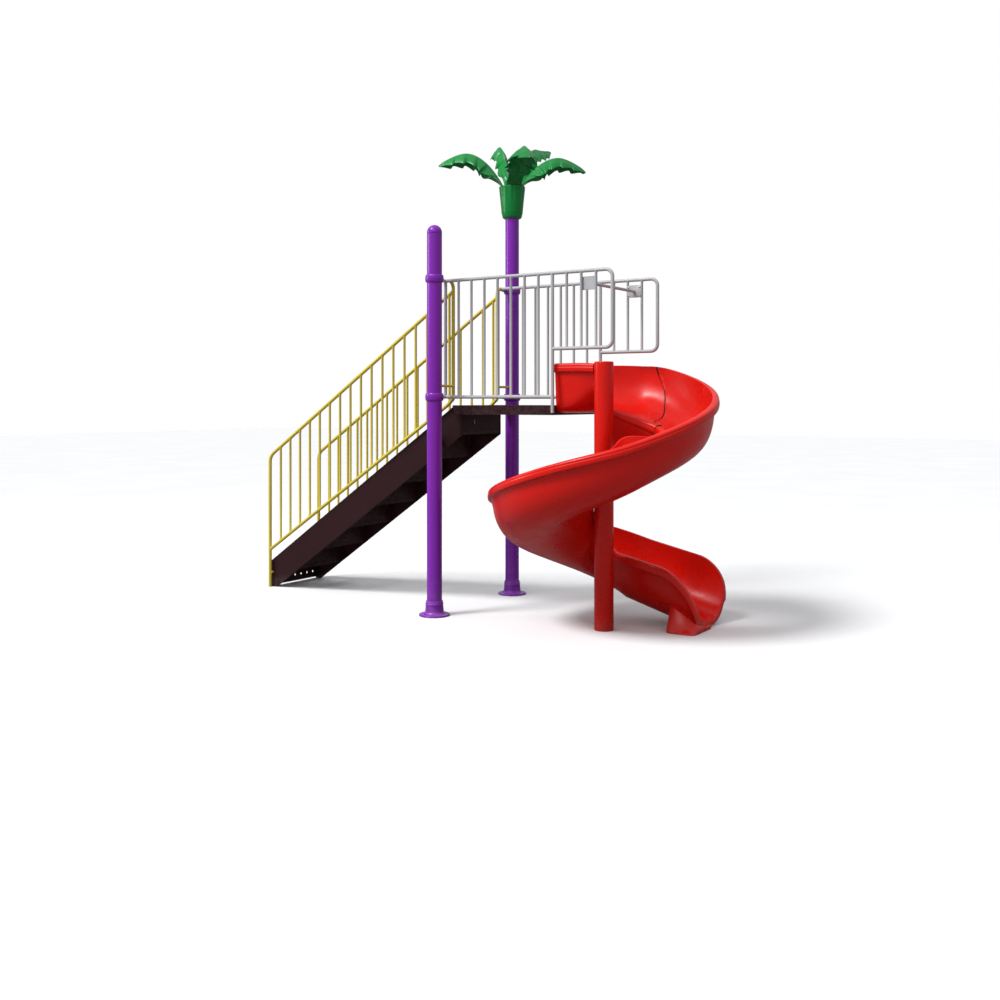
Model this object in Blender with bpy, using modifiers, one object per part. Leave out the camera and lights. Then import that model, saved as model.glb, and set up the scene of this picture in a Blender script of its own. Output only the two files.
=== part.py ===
"""Playground slide: stair, deck between two barriers, palm post and a one-turn spiral slide.

Metres, +Z up. The origin is the middle of the front post's base, on the ground.
X runs from the stair towards the slide, and Y from the front post to the rear post.
"""
import math

import bmesh
import bpy
from mathutils import Vector

# Clearance between pieces that touch
GAP = 0.0003

# The two main posts
POST_RADIUS = 0.054
POST_SPACING = 1.031
FRONT_POST_TOP = 2.725
DOME_HEIGHT = 0.064
REAR_POST_TOP = 3.000
FLANGE_RADIUS = 0.110
FLANGE_THICKNESS = 0.012
COVER_TOP_RADIUS = 0.061
COVER_FOOT_RADIUS = 0.066
COVER_TOP = 0.106
COVER_FLARE = 0.026
POST_SIDES = 40

# Ring clamps on the posts
CLAMP_RADIUS = 0.0665
CLAMP_HEIGHT = 0.056
CLAMP_ROUNDING_STEPS = 6
CLAMP_EAR_REACH = 0.090
CLAMP_EAR_WIDTH = 0.036

# Deck
DECK_TOP = 1.500
DECK_DEPTH = 0.066
DECK_FRONT_Y = 0.1800
DECK_REAR_Y = 0.8510
DECK_LEFT_X = 0.030
DECK_RIGHT_X = 0.873
DECK_SKIN = 0.006
DECK_RIBS = 2

# Barrier panels of the deck, in two planes of constant Y
BARRIER_PLANES = {"front_barrier": 0.167, "rear_barrier": 0.864}
BARRIER_TOP = 2.405
BARRIER_BOTTOM = 1.560
BARRIER_WING_BOTTOM = 1.888
BARRIER_START_X = -0.024
BARRIER_END_X = 1.338
BARRIER_FIRST_BAR_X = 0.0932
BARRIER_PITCH = 0.1122
BARRIER_SHORT_BARS = 7
BARRIER_WING_BARS = 3
BARRIER_LONG_BAR_FOOT = 1.449
BARRIER_CORNER = 0.050
RAIL_RADIUS = 0.0125
BAR_RADIUS = 0.0095

# The bars are six-sided, with a flat side towards the other barrier
BAR_HALF_FLATS = BAR_RADIUS * math.cos(math.radians(30))

# A tube that joins another of its size is thinner by this, so that no faces coincide
JOIN_STEP = 0.0005

# Bar across the slide's entry, with a square plate on each barrier
SAFETY_BAR_X = 1.159
SAFETY_BAR_Z = 2.322
SAFETY_PLATE_WIDTH = 0.120
SAFETY_PLATE_HEIGHT = 0.090
SAFETY_PLATE_THICKNESS = 0.004
SAFETY_BAR_RADIUS = 0.011

# Stair: two sloping side plates with folded steps between them
STRINGER_PLANES = {"near_stringer": 0.248, "far_stringer": 0.783}
STRINGER_PLATE = 0.008
STRINGER_FRONT_X = -1.861
STRINGER_FRONT_TOP = 0.215
STRINGER_SLOPE = 0.690
STRINGER_REAR_X = 0.055
STRINGER_REAR_LOW = 1.276
STRINGER_HEEL_X = -1.800
STEP_COUNT = 7
STEP_SKIN = 0.006
STEP_NOSING_DROP = 0.030
STEP_LIP = 0.030

# Yellow handrails beside the stair
HANDRAIL_PLANES = {"near_handrail": 0.2245, "far_handrail": 0.8065}
HANDRAIL_RADIUS = 0.0135
HANDRAIL_FOOT_X = -1.855
HANDRAIL_SLOPE = 0.6765
HANDRAIL_TOP_START = 1.0765
HANDRAIL_LOW_START = 0.3065
HANDRAIL_LOW_SLOPE = 0.660
HANDRAIL_END_X = 0.004
HANDRAIL_END_FOOT = 1.545
HANDRAIL_END_TOP = 2.405
HANDRAIL_BEND = 0.055
HANDRAIL_LOW_SETBACK = 0.055
HANDRAIL_LOW_BEND = 0.020
HANDRAIL_STUB_X = -1.843
HANDRAIL_STUB_Z = 0.120
HANDRAIL_FIRST_BAR_X = -0.031
HANDRAIL_SECOND_BAR_X = -0.1279
HANDRAIL_PITCH = 0.1071
HANDRAIL_BARS = 16
HANDRAIL_LUG_Z = 1.640

# Arm from the front post back to the stair's near side plate
STAIR_BRACKET_LOW = 1.210
STAIR_BRACKET_HIGH = 1.290
STAIR_BRACKET_WIDTH = 0.056
STAIR_BRACKET_END_X = -0.185

# Block from the rear post to the deck's rear edge
DECK_BRACKET_LOW = 1.442
DECK_BRACKET_HIGH = 1.492
DECK_BRACKET_LEFT_X = -0.030
DECK_BRACKET_RIGHT_X = 0.075

# Palm crown on the rear post
COLLAR_BOTTOM = 2.977
COLLAR_TOP = 3.231
COLLAR_LOW_RADIUS = 0.0795
COLLAR_TOP_RADIUS = 0.103
CROWN_AZIMUTH = 33.2
LEAF_AZIMUTHS = (0.0, 56.0, 107.0, 180.0, 283.0)
LEAF_PEAKS = (3.455, 3.590, 3.620, 3.490, 3.466)
LEAF_TIPS = (3.350, 3.620, 3.585, 3.400, 3.345)
LEAF_HALF_WIDTHS = (0.105, 0.075, 0.062, 0.105, 0.120)
LEAF_ROOT_RADIUS = 0.074
LEAF_ROOT_HALF_WIDTH = 0.030
LEAF_TIP_HALF_WIDTH = 0.010
LEAF_SPREAD = 0.42
LEAF_REACH = 0.585
LEAF_REACH_POWER = 1.15
LEAF_PEAK_PLACE = 0.62
LEAF_TIP_CURVE = 1.6
LEAF_TIP_SHARE = 0.86
LEAF_FULLNESS = 0.6
LEAF_UPRIGHT_PLACE = 0.55
LEAF_DROOP = 0.090
LEAF_DROOP_START = 0.4
LEAF_THICKNESS = 0.012
LEAF_STATIONS = 17
LEAF_TEETH = 5
LEAF_TOOTH_DEPTH = 0.22

# Slide post, and the spiral that turns clockwise round it; the spiral's axis is just off the post's
SLIDE_POST_X = 1.245
SLIDE_POST_Y = 0.2225
SLIDE_POST_RADIUS = 0.065
SLIDE_POST_TOP = 1.795
AXIS_X = 1.237
AXIS_Y = 0.2175
RIM_RADIUS = 0.769
INNER_RADIUS = 0.185
RIM_WIDTH = 0.045
RIM_HEIGHT = 0.062
WALL_STANDOFF = 0.014
RIM_OUTLINE = (
    (0.012, 0.003),
    (0.030, 0.000),
    (0.041, -0.010),
    (0.045, -0.030),
    (0.042, -0.055),
    (0.024, -0.062),
)
LOW_RIM_SHARE = 0.72
TROUGH_DEPTH = 0.322
DEPTH_GAIN = 0.035
DEPTH_GAIN_START = 110.0
DEPTH_GAIN_SPAN = 150.0
TROUGH_SKIN = 0.018
TROUGH_SQUARENESS = 2.6
ENTRY_SQUARENESS = 6.0
FLOOR_PLACE = 0.47
SIDE_STEPS = 6
INNER_WALL_DROP = 0.035

# The inner edge at some turns, in degrees: its radius, and its drop below the outer rim
INNER_EDGE = (
    (0.0, 0.074, 0.295),
    (62.0, 0.375, 0.250),
    (125.0, INNER_RADIUS, 0.070),
    (160.0, INNER_RADIUS, INNER_WALL_DROP),
    (215.0, 0.085, INNER_WALL_DROP),
    (275.0, 0.085, INNER_WALL_DROP),
    (340.0, INNER_RADIUS, INNER_WALL_DROP),
)
ENTRY_START_X = 0.8733
ENTRY_FAR_Y = 0.850
ENTRY_NEAR_Y = 0.190
RIM_TOP_AT_ENTRY = 1.787
RIM_TOP_AT_START = 1.812
RIM_DROP_PER_DEGREE = 0.00378
ENTRY_EASE = 0.030
LOW_TURN_RISE = 0.074
LOW_TURN_START = 200.0
LOW_TURN_SPAN = 150.0
RIM_SAG = 0.014
RIM_SAG_PLACE = 143.0
RIM_SAG_SPAN = 22.0
SPIRAL_STEP = 10.0
SECTION_GAP_DEGREES = 0.1
EXIT_SLOPE = 0.220
EXIT_END_X = 1.812
EXIT_CORNER = 0.200
EXIT_NEAR_CORNER = 0.270
EXIT_SQUARENESS = 3.2
EXIT_SKIN_GAIN = 0.035
EXIT_GROUND_CLEARANCE = 0.012
FOOT_START_X = 1.620
FOOT_END_X = 1.835
FOOT_NEAR_Y = 0.350
FOOT_FAR_Y = 0.850
FOOT_TOP = 0.090
FOOT_TOE_TOP = 0.020
FOOT_CORNER = 0.040
FOOT_FAR_CHAMFER_X = 1.740
FOOT_FAR_CHAMFER = 0.200
FOOT_HOLLOW_WIDENING = 1.004
FOOT_HOLLOW_TOP = 0.300

# Colours as linear base colours, with roughness and metallic value
PURPLE = ("purple_paint", (0.26, 0.03, 0.42), 0.30, 0.0)
YELLOW = ("yellow_paint", (0.62, 0.50, 0.10), 0.35, 0.0)
GREY = ("grey_paint", (0.52, 0.50, 0.52), 0.35, 0.0)
BROWN = ("brown_coating", (0.035, 0.018, 0.020), 0.55, 0.0)
RED = ("red_plastic", (0.62, 0.012, 0.006), 0.30, 0.0)
GREEN = ("green_plastic", (0.01, 0.24, 0.05), 0.35, 0.0)


def clear_scene():
    for old in list(bpy.data.objects):
        bpy.data.objects.remove(old, do_unlink=True)


def new_collection(name):
    collection = bpy.data.collections.new(name)
    bpy.context.scene.collection.children.link(collection)
    return collection


def material(finish):
    name, colour, roughness, metallic = finish
    found = bpy.data.materials.get(name)
    if found:
        return found
    made = bpy.data.materials.new(name)
    made.use_nodes = True
    shader = made.node_tree.nodes["Principled BSDF"]
    shader.inputs["Base Color"].default_value = (*colour, 1.0)
    shader.inputs["Roughness"].default_value = roughness
    shader.inputs["Metallic"].default_value = metallic
    made.diffuse_color = (*colour, 1.0)
    return made


def add_object(name, mesh, finish=None):
    """A part in the slide's collection, or a tool for Booleans when it has no finish."""
    thing = bpy.data.objects.new(name, mesh)
    if finish:
        parts.objects.link(thing)
        mesh.materials.append(material(finish))
    else:
        cutters.objects.link(thing)
        thing.hide_render = True
        thing.display_type = "WIRE"
    return thing


def mesh_from(name, build):
    work = bmesh.new()
    build(work)
    mesh = bpy.data.meshes.new(name)
    work.to_mesh(mesh)
    work.free()
    return mesh


def add_box_to(work, low, high):
    low, high = Vector(low), Vector(high)
    made = bmesh.ops.create_cube(work, size=1.0)
    bmesh.ops.scale(work, vec=high - low, verts=made["verts"])
    bmesh.ops.translate(work, vec=(low + high) / 2, verts=made["verts"])


def boxes(name, spans, finish=None):
    """One object of separate boxes, each given by its lowest and highest corner."""
    def build(work):
        for low, high in spans:
            add_box_to(work, low, high)
    return add_object(name, mesh_from(name, build), finish)


def boolean(target, tool, operation):
    change = target.modifiers.new(f"{operation.lower()}_{tool.name}", "BOOLEAN")
    change.operation = operation
    change.object = tool
    change.solver = "EXACT"


def shade(target, angle=40):
    target.data.shade_smooth()
    target.data.set_sharp_from_angle(angle=math.radians(angle))


def turned(name, profile, centre, finish=None, sides=POST_SIDES):
    """A turned shape: its profile of (radius, height) runs down the outer side."""
    mesh = bpy.data.meshes.new(name)
    points = [(radius, 0.0, height) for radius, height in profile]
    links = [(i, i + 1) for i in range(len(points) - 1)]
    if profile[0][0] > 0.0:
        links.append((len(points) - 1, 0))
    mesh.from_pydata(points, links, [])
    thing = add_object(name, mesh, finish)
    thing.location = centre
    screw = thing.modifiers.new("turned", "SCREW")
    screw.steps = sides
    screw.render_steps = sides
    screw.use_merge_vertices = True
    screw.merge_threshold = 0.00001
    screw.use_smooth_shade = True
    return thing


def filleted(corners, radius, steps=5):
    """The points of a path whose inner corners are rounded to a radius."""
    corners = [Vector(corner) for corner in corners]
    points = [corners[0]]
    for before, corner, after in zip(corners, corners[1:], corners[2:]):
        back = (before - corner).normalized()
        ahead = (after - corner).normalized()
        half = back.angle(ahead) / 2
        reach = radius / math.tan(half)
        centre = corner + (back + ahead).normalized() * radius / math.sin(half)
        start = corner + back * reach - centre
        end = corner + ahead * reach - centre
        sweep = start.angle(end)
        for i in range(steps + 1):
            part = i / steps
            lead = math.sin((1 - part) * sweep) / math.sin(sweep)
            lag = math.sin(part * sweep) / math.sin(sweep)
            points.append(centre + start * lead + end * lag)
    points.append(corners[-1])
    return points


def face_outwards(work):
    bmesh.ops.recalc_face_normals(work, faces=work.faces)
    if work.calc_volume(signed=True) < 0:
        bmesh.ops.reverse_faces(work, faces=work.faces)


def tube_mesh(name, paths, radius, resolution):
    """Closed round tubes along paths, as one welded mesh."""
    curve = bpy.data.curves.new(name, "CURVE")
    curve.dimensions = "3D"
    curve.bevel_depth = radius
    curve.bevel_resolution = resolution
    curve.use_fill_caps = True
    for path in paths:
        spline = curve.splines.new("POLY")
        spline.points.add(len(path) - 1)
        for point, place in zip(spline.points, path):
            point.co = (*place, 1.0)
    guide = bpy.data.objects.new(name, curve)
    cutters.objects.link(guide)
    shape = guide.evaluated_get(bpy.context.evaluated_depsgraph_get())
    mesh = bpy.data.meshes.new_from_object(shape)
    bpy.data.objects.remove(guide, do_unlink=True)
    work = bmesh.new()
    work.from_mesh(mesh)
    bmesh.ops.remove_doubles(work, verts=work.verts, dist=0.00002)
    face_outwards(work)
    work.to_mesh(mesh)
    work.free()
    mesh.name = name
    return mesh


def plate(name, outline, y_low, thickness, finish=None):
    """A flat outline in X and Z, given thickness along +Y from y_low."""
    curve = bpy.data.curves.new(name, "CURVE")
    curve.dimensions = "2D"
    curve.fill_mode = "BOTH"
    curve.extrude = thickness / 2
    spline = curve.splines.new("POLY")
    spline.points.add(len(outline) - 1)
    for point, (x, z) in zip(spline.points, outline):
        point.co = (x, z, 0.0, 1.0)
    spline.use_cyclic_u = True
    guide = bpy.data.objects.new(name, curve)
    cutters.objects.link(guide)
    shape = guide.evaluated_get(bpy.context.evaluated_depsgraph_get())
    mesh = bpy.data.meshes.new_from_object(shape)
    bpy.data.objects.remove(guide, do_unlink=True)
    work = bmesh.new()
    work.from_mesh(mesh)
    bmesh.ops.remove_doubles(work, verts=work.verts, dist=0.00002)
    for corner in work.verts:
        x, z, depth = corner.co
        corner.co = (x, y_low + thickness / 2 + depth, z)
    face_outwards(work)
    work.to_mesh(mesh)
    work.free()
    mesh.name = name
    return add_object(name, mesh, finish)


def loft(name, loops, finish):
    """A closed body through loops of equal length, with a flat cap at each end."""
    def build(work):
        rows = [[work.verts.new(place) for place in loop] for loop in loops]
        count = len(rows[0])
        for row, following in zip(rows, rows[1:]):
            for i in range(count):
                j = (i + 1) % count
                work.faces.new((row[i], row[j], following[j], following[i]))
        work.faces.new(rows[0][::-1])
        work.faces.new(rows[-1])
        work.normal_update()
        bmesh.ops.triangulate(work, faces=work.faces)
        face_outwards(work)
    return add_object(name, mesh_from(name, build), finish)


def between(low, high, part):
    return low + (high - low) * part


def smooth_step(part):
    part = min(max(part, 0.0), 1.0)
    return part * part * (3 - 2 * part)


def build_posts():
    for name, y, top in (("front_post", 0.0, FRONT_POST_TOP), ("rear_post", POST_SPACING, REAR_POST_TOP)):
        foot = FLANGE_THICKNESS + GAP
        outline = [(0.0, top), (POST_RADIUS, top), (POST_RADIUS, foot), (0.0, foot)]
        turned(name, outline, (0.0, y, 0.0), PURPLE)
        pocket = POST_RADIUS + GAP
        base = [
            (0.0, FLANGE_THICKNESS),
            (pocket, FLANGE_THICKNESS),
            (pocket, COVER_TOP),
            (COVER_TOP_RADIUS - 0.003, COVER_TOP),
            (COVER_TOP_RADIUS, COVER_TOP - 0.004),
            (COVER_FOOT_RADIUS, FLANGE_THICKNESS + COVER_FLARE),
        ]
        for i in range(1, 5):
            turn = math.radians(90 * i / 4)
            base.append((
                COVER_FOOT_RADIUS + COVER_FLARE * (1 - math.cos(turn)),
                FLANGE_THICKNESS + COVER_FLARE * (1 - math.sin(turn)),
            ))
        base += [
            (FLANGE_RADIUS - 0.004, FLANGE_THICKNESS),
            (FLANGE_RADIUS, FLANGE_THICKNESS - 0.004),
            (FLANGE_RADIUS, 0.0),
            (0.0, 0.0),
        ]
        turned(f"{name}_base", base, (0.0, y, 0.0), PURPLE)
    dome = [(0.0, FRONT_POST_TOP + DOME_HEIGHT)]
    for i in range(1, 9):
        turn = math.radians(90 * i / 8)
        dome.append((POST_RADIUS * math.sin(turn), FRONT_POST_TOP + 0.007 + POST_RADIUS * math.cos(turn)))
    dome.append((POST_RADIUS, FRONT_POST_TOP + GAP))
    dome.append((0.0, FRONT_POST_TOP + GAP))
    turned("front_post_cap", dome, (0.0, 0.0, 0.0), PURPLE)


def build_clamp(name, post_y, height, side):
    """A ring round a post with one ear towards the barrier; side is +1 or -1 along Y."""
    bore = POST_RADIUS + GAP
    ring = [(bore, CLAMP_HEIGHT / 2)]
    for i in range(1, CLAMP_ROUNDING_STEPS):
        turn = math.pi * i / CLAMP_ROUNDING_STEPS
        ring.append((bore + (CLAMP_RADIUS - bore) * math.sin(turn) ** 0.6, CLAMP_HEIGHT / 2 * math.cos(turn)))
    ring.append((bore, -CLAMP_HEIGHT / 2))
    clamp = turned(name, ring, (0.0, post_y, height), PURPLE)
    near = side * (CLAMP_RADIUS - 0.010)
    far = side * CLAMP_EAR_REACH
    low = (BARRIER_START_X - CLAMP_EAR_WIDTH / 2, post_y + min(near, far), height - 0.014)
    high = (BARRIER_START_X + CLAMP_EAR_WIDTH / 2, post_y + max(near, far), height + 0.014)
    ear = boxes(f"{name}_ear", [(low, high)])
    boolean(clamp, ear, "UNION")


def build_clamps():
    for place, height in (("upper", BARRIER_TOP), ("lower", BARRIER_BOTTOM)):
        build_clamp(f"front_{place}_clamp", 0.0, height, 1)
        build_clamp(f"rear_{place}_clamp", POST_SPACING, height, -1)


def build_deck():
    """A folded tray: a top skin, a rim round it and ribs across it below."""
    low = (DECK_LEFT_X, DECK_FRONT_Y, DECK_TOP - DECK_DEPTH)
    high = (DECK_RIGHT_X, DECK_REAR_Y, DECK_TOP)
    deck = boxes("deck", [(low, high)], BROWN)
    bays = DECK_RIBS + 1
    bay = (DECK_RIGHT_X - DECK_LEFT_X - DECK_SKIN) / bays
    hollows = []
    for i in range(bays):
        start = DECK_LEFT_X + DECK_SKIN + bay * i
        near = (start, DECK_FRONT_Y + DECK_SKIN, DECK_TOP - DECK_DEPTH - 0.01)
        far = (start + bay - DECK_SKIN, DECK_REAR_Y - DECK_SKIN, DECK_TOP - DECK_SKIN)
        hollows.append((near, far))
    boolean(deck, boxes("deck_hollows", hollows), "DIFFERENCE")


def build_barrier(name, y, post_y):
    long_bar_x = BARRIER_FIRST_BAR_X + BARRIER_PITCH * BARRIER_SHORT_BARS
    outline = [
        (long_bar_x, y, BARRIER_BOTTOM),
        (BARRIER_START_X, y, BARRIER_BOTTOM),
        (BARRIER_START_X, y, BARRIER_TOP),
        (BARRIER_END_X, y, BARRIER_TOP),
        (BARRIER_END_X, y, BARRIER_WING_BOTTOM),
        (long_bar_x, y, BARRIER_WING_BOTTOM),
    ]
    left = filleted(outline[:4], RAIL_RADIUS, 3)
    right = filleted(outline[2:], BARRIER_CORNER, 5)
    path = left[:-1] + right[1:]
    panel = add_object(name, tube_mesh(name, [path], RAIL_RADIUS, 2), GREY)
    bars = []
    for i in range(BARRIER_SHORT_BARS):
        x = BARRIER_FIRST_BAR_X + BARRIER_PITCH * i
        bars.append([(x, y, BARRIER_BOTTOM), (x, y, BARRIER_TOP)])
    for i in range(BARRIER_WING_BARS):
        x = long_bar_x + BARRIER_PITCH * (i + 1)
        bars.append([(x, y, BARRIER_WING_BOTTOM), (x, y, BARRIER_TOP)])
    boolean(panel, add_object(f"{name}_bars", tube_mesh(f"{name}_bars", bars, BAR_RADIUS, 1)), "UNION")
    long_bar = [[(long_bar_x, y, BARRIER_LONG_BAR_FOOT), (long_bar_x, y, BARRIER_TOP)]]
    post_side = 1 if post_y < y else -1
    ear_end = post_y + post_side * (CLAMP_EAR_REACH + GAP)
    for height in (BARRIER_TOP, BARRIER_BOTTOM):
        long_bar.append([(BARRIER_START_X, y, height), (BARRIER_START_X, ear_end, height)])
    extra = add_object(f"{name}_lugs", tube_mesh(f"{name}_lugs", long_bar, RAIL_RADIUS - JOIN_STEP, 2))
    boolean(panel, extra, "UNION")
    shade(panel)


def build_safety_bar():
    """A round bar between two square plates on the inner faces of the barriers."""
    near = BARRIER_PLANES["front_barrier"] + BAR_HALF_FLATS + GAP
    far = BARRIER_PLANES["rear_barrier"] - BAR_HALF_FLATS - GAP
    path = [(SAFETY_BAR_X, near + 0.002, SAFETY_BAR_Z), (SAFETY_BAR_X, far - 0.002, SAFETY_BAR_Z)]
    bar = add_object("safety_bar", tube_mesh("safety_bar", [path], SAFETY_BAR_RADIUS, 3), GREY)
    half_width = SAFETY_PLATE_WIDTH / 2
    half_height = SAFETY_PLATE_HEIGHT / 2
    spans = []
    for y_low in (near, far - SAFETY_PLATE_THICKNESS):
        low = (SAFETY_BAR_X - half_width, y_low, SAFETY_BAR_Z - half_height)
        high = (SAFETY_BAR_X + half_width, y_low + SAFETY_PLATE_THICKNESS, SAFETY_BAR_Z + half_height)
        spans.append((low, high))
    boolean(bar, boxes("safety_bar_plates", spans), "UNION")
    shade(bar)


def build_handrail(name, y, barrier_y, post_y):
    out = -1 if post_y < y else 1
    butt = barrier_y - out * (RAIL_RADIUS + GAP)
    run = HANDRAIL_END_X - HANDRAIL_FOOT_X
    upper = filleted([
        (HANDRAIL_FOOT_X, y, 0.0),
        (HANDRAIL_FOOT_X, y, HANDRAIL_TOP_START),
        (HANDRAIL_END_X, y, HANDRAIL_TOP_START + HANDRAIL_SLOPE * run),
    ], HANDRAIL_BEND, 5)
    bend_x = HANDRAIL_END_X - HANDRAIL_LOW_SETBACK
    bend_z = HANDRAIL_LOW_START + HANDRAIL_LOW_SLOPE * (bend_x - HANDRAIL_FOOT_X)
    low_path = filleted([
        (HANDRAIL_FOOT_X, y, HANDRAIL_LOW_START),
        (bend_x, y, bend_z),
        (HANDRAIL_END_X, y, HANDRAIL_END_FOOT),
        (HANDRAIL_END_X, y, HANDRAIL_END_TOP - HANDRAIL_BEND),
    ], HANDRAIL_LOW_BEND, 3)
    top_bend = []
    depth = abs(y - butt)
    for i in range(6):
        turn = math.radians(18 * i)
        top_bend.append((
            HANDRAIL_END_X,
            y + out * depth * (1 - math.cos(turn)),
            HANDRAIL_END_TOP - HANDRAIL_BEND + HANDRAIL_BEND * math.sin(turn),
        ))
    lower = low_path[:-1] + [Vector(point) for point in top_bend]
    rail = add_object(name, tube_mesh(name, [upper], HANDRAIL_RADIUS, 2), YELLOW)
    low_name = f"{name}_lower"
    low_rail = tube_mesh(low_name, [lower], HANDRAIL_RADIUS - JOIN_STEP, 2)
    boolean(rail, add_object(low_name, low_rail), "UNION")
    places = [HANDRAIL_FIRST_BAR_X]
    for i in range(HANDRAIL_BARS):
        places.append(HANDRAIL_SECOND_BAR_X - HANDRAIL_PITCH * i)
    bars = []
    for x in places:
        run = x - HANDRAIL_FOOT_X
        foot = HANDRAIL_LOW_START + HANDRAIL_LOW_SLOPE * run
        head = HANDRAIL_TOP_START + HANDRAIL_SLOPE * run
        bars.append([(x, y, foot), (x, y, head)])
    boolean(rail, add_object(f"{name}_bars", tube_mesh(f"{name}_bars", bars, BAR_RADIUS, 1)), "UNION")
    stringer_y = STRINGER_PLANES["near_stringer" if out < 0 else "far_stringer"]
    post_face = post_y - out * (POST_RADIUS + GAP)
    stringer_face = stringer_y + out * GAP
    stubs = [
        [(HANDRAIL_STUB_X, y, HANDRAIL_STUB_Z), (HANDRAIL_STUB_X, stringer_face, HANDRAIL_STUB_Z)],
        [(HANDRAIL_END_X, y, HANDRAIL_LUG_Z), (HANDRAIL_END_X, post_face, HANDRAIL_LUG_Z)],
    ]
    extra = add_object(f"{name}_stubs", tube_mesh(f"{name}_stubs", stubs, BAR_RADIUS, 2))
    boolean(rail, extra, "UNION")
    shade(rail)


def stringer_top(x):
    return STRINGER_FRONT_TOP + STRINGER_SLOPE * (x - STRINGER_FRONT_X)


def build_stringer(name, outer_y, inward):
    """A sloping plate that stands on the ground and carries the deck's left edge."""
    deck_low = DECK_TOP - DECK_DEPTH - GAP
    head_x = DECK_LEFT_X - GAP
    head_z = min(stringer_top(head_x), DECK_TOP)
    outline = [
        (STRINGER_FRONT_X, 0.0),
        (STRINGER_HEEL_X, 0.0),
        (STRINGER_REAR_X, STRINGER_REAR_LOW),
        (STRINGER_REAR_X, deck_low),
        (head_x, deck_low),
        (head_x, head_z),
        (STRINGER_FRONT_X + (head_z - STRINGER_FRONT_TOP) / STRINGER_SLOPE, head_z),
        (STRINGER_FRONT_X, STRINGER_FRONT_TOP),
    ]
    y_low = outer_y if inward > 0 else outer_y - STRINGER_PLATE
    plate(name, outline, y_low, STRINGER_PLATE, BROWN)


def step_front(number):
    rise = DECK_TOP / (STEP_COUNT + 1)
    return STRINGER_FRONT_X + (rise * number + STEP_NOSING_DROP - STRINGER_FRONT_TOP) / STRINGER_SLOPE


def build_steps():
    """Each step is one folded sheet: a riser, a tread, and a lip down at its rear edge."""
    rise = DECK_TOP / (STEP_COUNT + 1)
    near = STRINGER_PLANES["near_stringer"] + STRINGER_PLATE + GAP
    far = STRINGER_PLANES["far_stringer"] - STRINGER_PLATE - GAP
    for number in range(1, STEP_COUNT + 1):
        front = step_front(number)
        rear = step_front(number + 1) + STEP_SKIN
        top = rise * number
        foot = 0.010 if number == 1 else top - rise + GAP
        outline = [
            (front, foot),
            (front + STEP_SKIN, foot),
            (front + STEP_SKIN, top - STEP_SKIN),
            (rear - STEP_SKIN, top - STEP_SKIN),
            (rear - STEP_SKIN, top - STEP_LIP),
            (rear, top - STEP_LIP),
            (rear, top),
            (front, top),
        ]
        plate(f"step_{number}", outline, near, far - near, BROWN)


def build_top_riser():
    """The plate between the stringers, from the last tread up to the deck."""
    near = STRINGER_PLANES["near_stringer"] + STRINGER_PLATE + GAP
    far = STRINGER_PLANES["far_stringer"] - STRINGER_PLATE - GAP
    front = step_front(STEP_COUNT + 1)
    low = (front, near, DECK_TOP * STEP_COUNT / (STEP_COUNT + 1) + GAP)
    high = (front + STEP_SKIN, far, DECK_TOP - DECK_DEPTH - GAP)
    boxes("top_riser", [(low, high)], BROWN)


def seat_on_post(bracket, post_y, low, high):
    """Hollows a bracket so that it sits against a post."""
    bore = POST_RADIUS + GAP
    outline = [(0.0, high), (bore, high), (bore, low), (0.0, low)]
    boolean(bracket, turned(f"{bracket.name}_saddle", outline, (0.0, post_y, 0.0)), "DIFFERENCE")


def build_stair_bracket():
    face = STRINGER_PLANES["near_stringer"] - GAP
    along = Vector((STAIR_BRACKET_END_X, face, 0.0)).normalized()
    across = Vector((-along.y, along.x, 0.0)) * STAIR_BRACKET_WIDTH / 2
    reach = [(face - side.y) / along.y for side in (across, -across)]
    plan = [across, across + along * reach[0], along * reach[1] - across, -across]
    loops = []
    for height in (STAIR_BRACKET_LOW, STAIR_BRACKET_HIGH):
        loops.append([(corner.x, corner.y, height) for corner in plan])
    bracket = loft("front_stair_bracket", loops, BROWN)
    seat_on_post(bracket, 0.0, STAIR_BRACKET_LOW - 0.01, STAIR_BRACKET_HIGH + 0.01)


def build_deck_bracket():
    low = (DECK_BRACKET_LEFT_X, DECK_REAR_Y + GAP, DECK_BRACKET_LOW)
    high = (DECK_BRACKET_RIGHT_X, POST_SPACING, DECK_BRACKET_HIGH)
    bracket = boxes("rear_deck_bracket", [(low, high)], BROWN)
    seat_on_post(bracket, POST_SPACING, DECK_BRACKET_LOW - 0.01, DECK_BRACKET_HIGH + 0.01)


def build_palm_collar():
    socket = POST_RADIUS + GAP
    outline = [
        (0.0, COLLAR_TOP),
        (COLLAR_TOP_RADIUS, COLLAR_TOP),
        (COLLAR_LOW_RADIUS + 0.004, COLLAR_BOTTOM + 0.040),
        (COLLAR_LOW_RADIUS - 0.003, COLLAR_BOTTOM + 0.014),
        (COLLAR_LOW_RADIUS - 0.012, COLLAR_BOTTOM),
        (socket, COLLAR_BOTTOM),
        (socket, REAR_POST_TOP + GAP),
        (0.0, REAR_POST_TOP + GAP),
    ]
    turned("palm_collar", outline, (0.0, POST_SPACING, 0.0), GREEN)


def leaf_loop(place, across, up, half_width, droop, thickness):
    """One section of a leaf: a thin roof shape, widest at the middle row."""
    spread = (-1.0, -0.55, 0.0, 0.55, 1.0)
    top = []
    for part in spread:
        fall = droop * abs(part) ** 1.5
        top.append(place + across * half_width * part - up * fall)
    skin = (0.45, 0.8, 1.0, 0.8, 0.45)
    under = [point - up * thickness * share for point, share in zip(top, skin)]
    return top + under[::-1]


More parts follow.
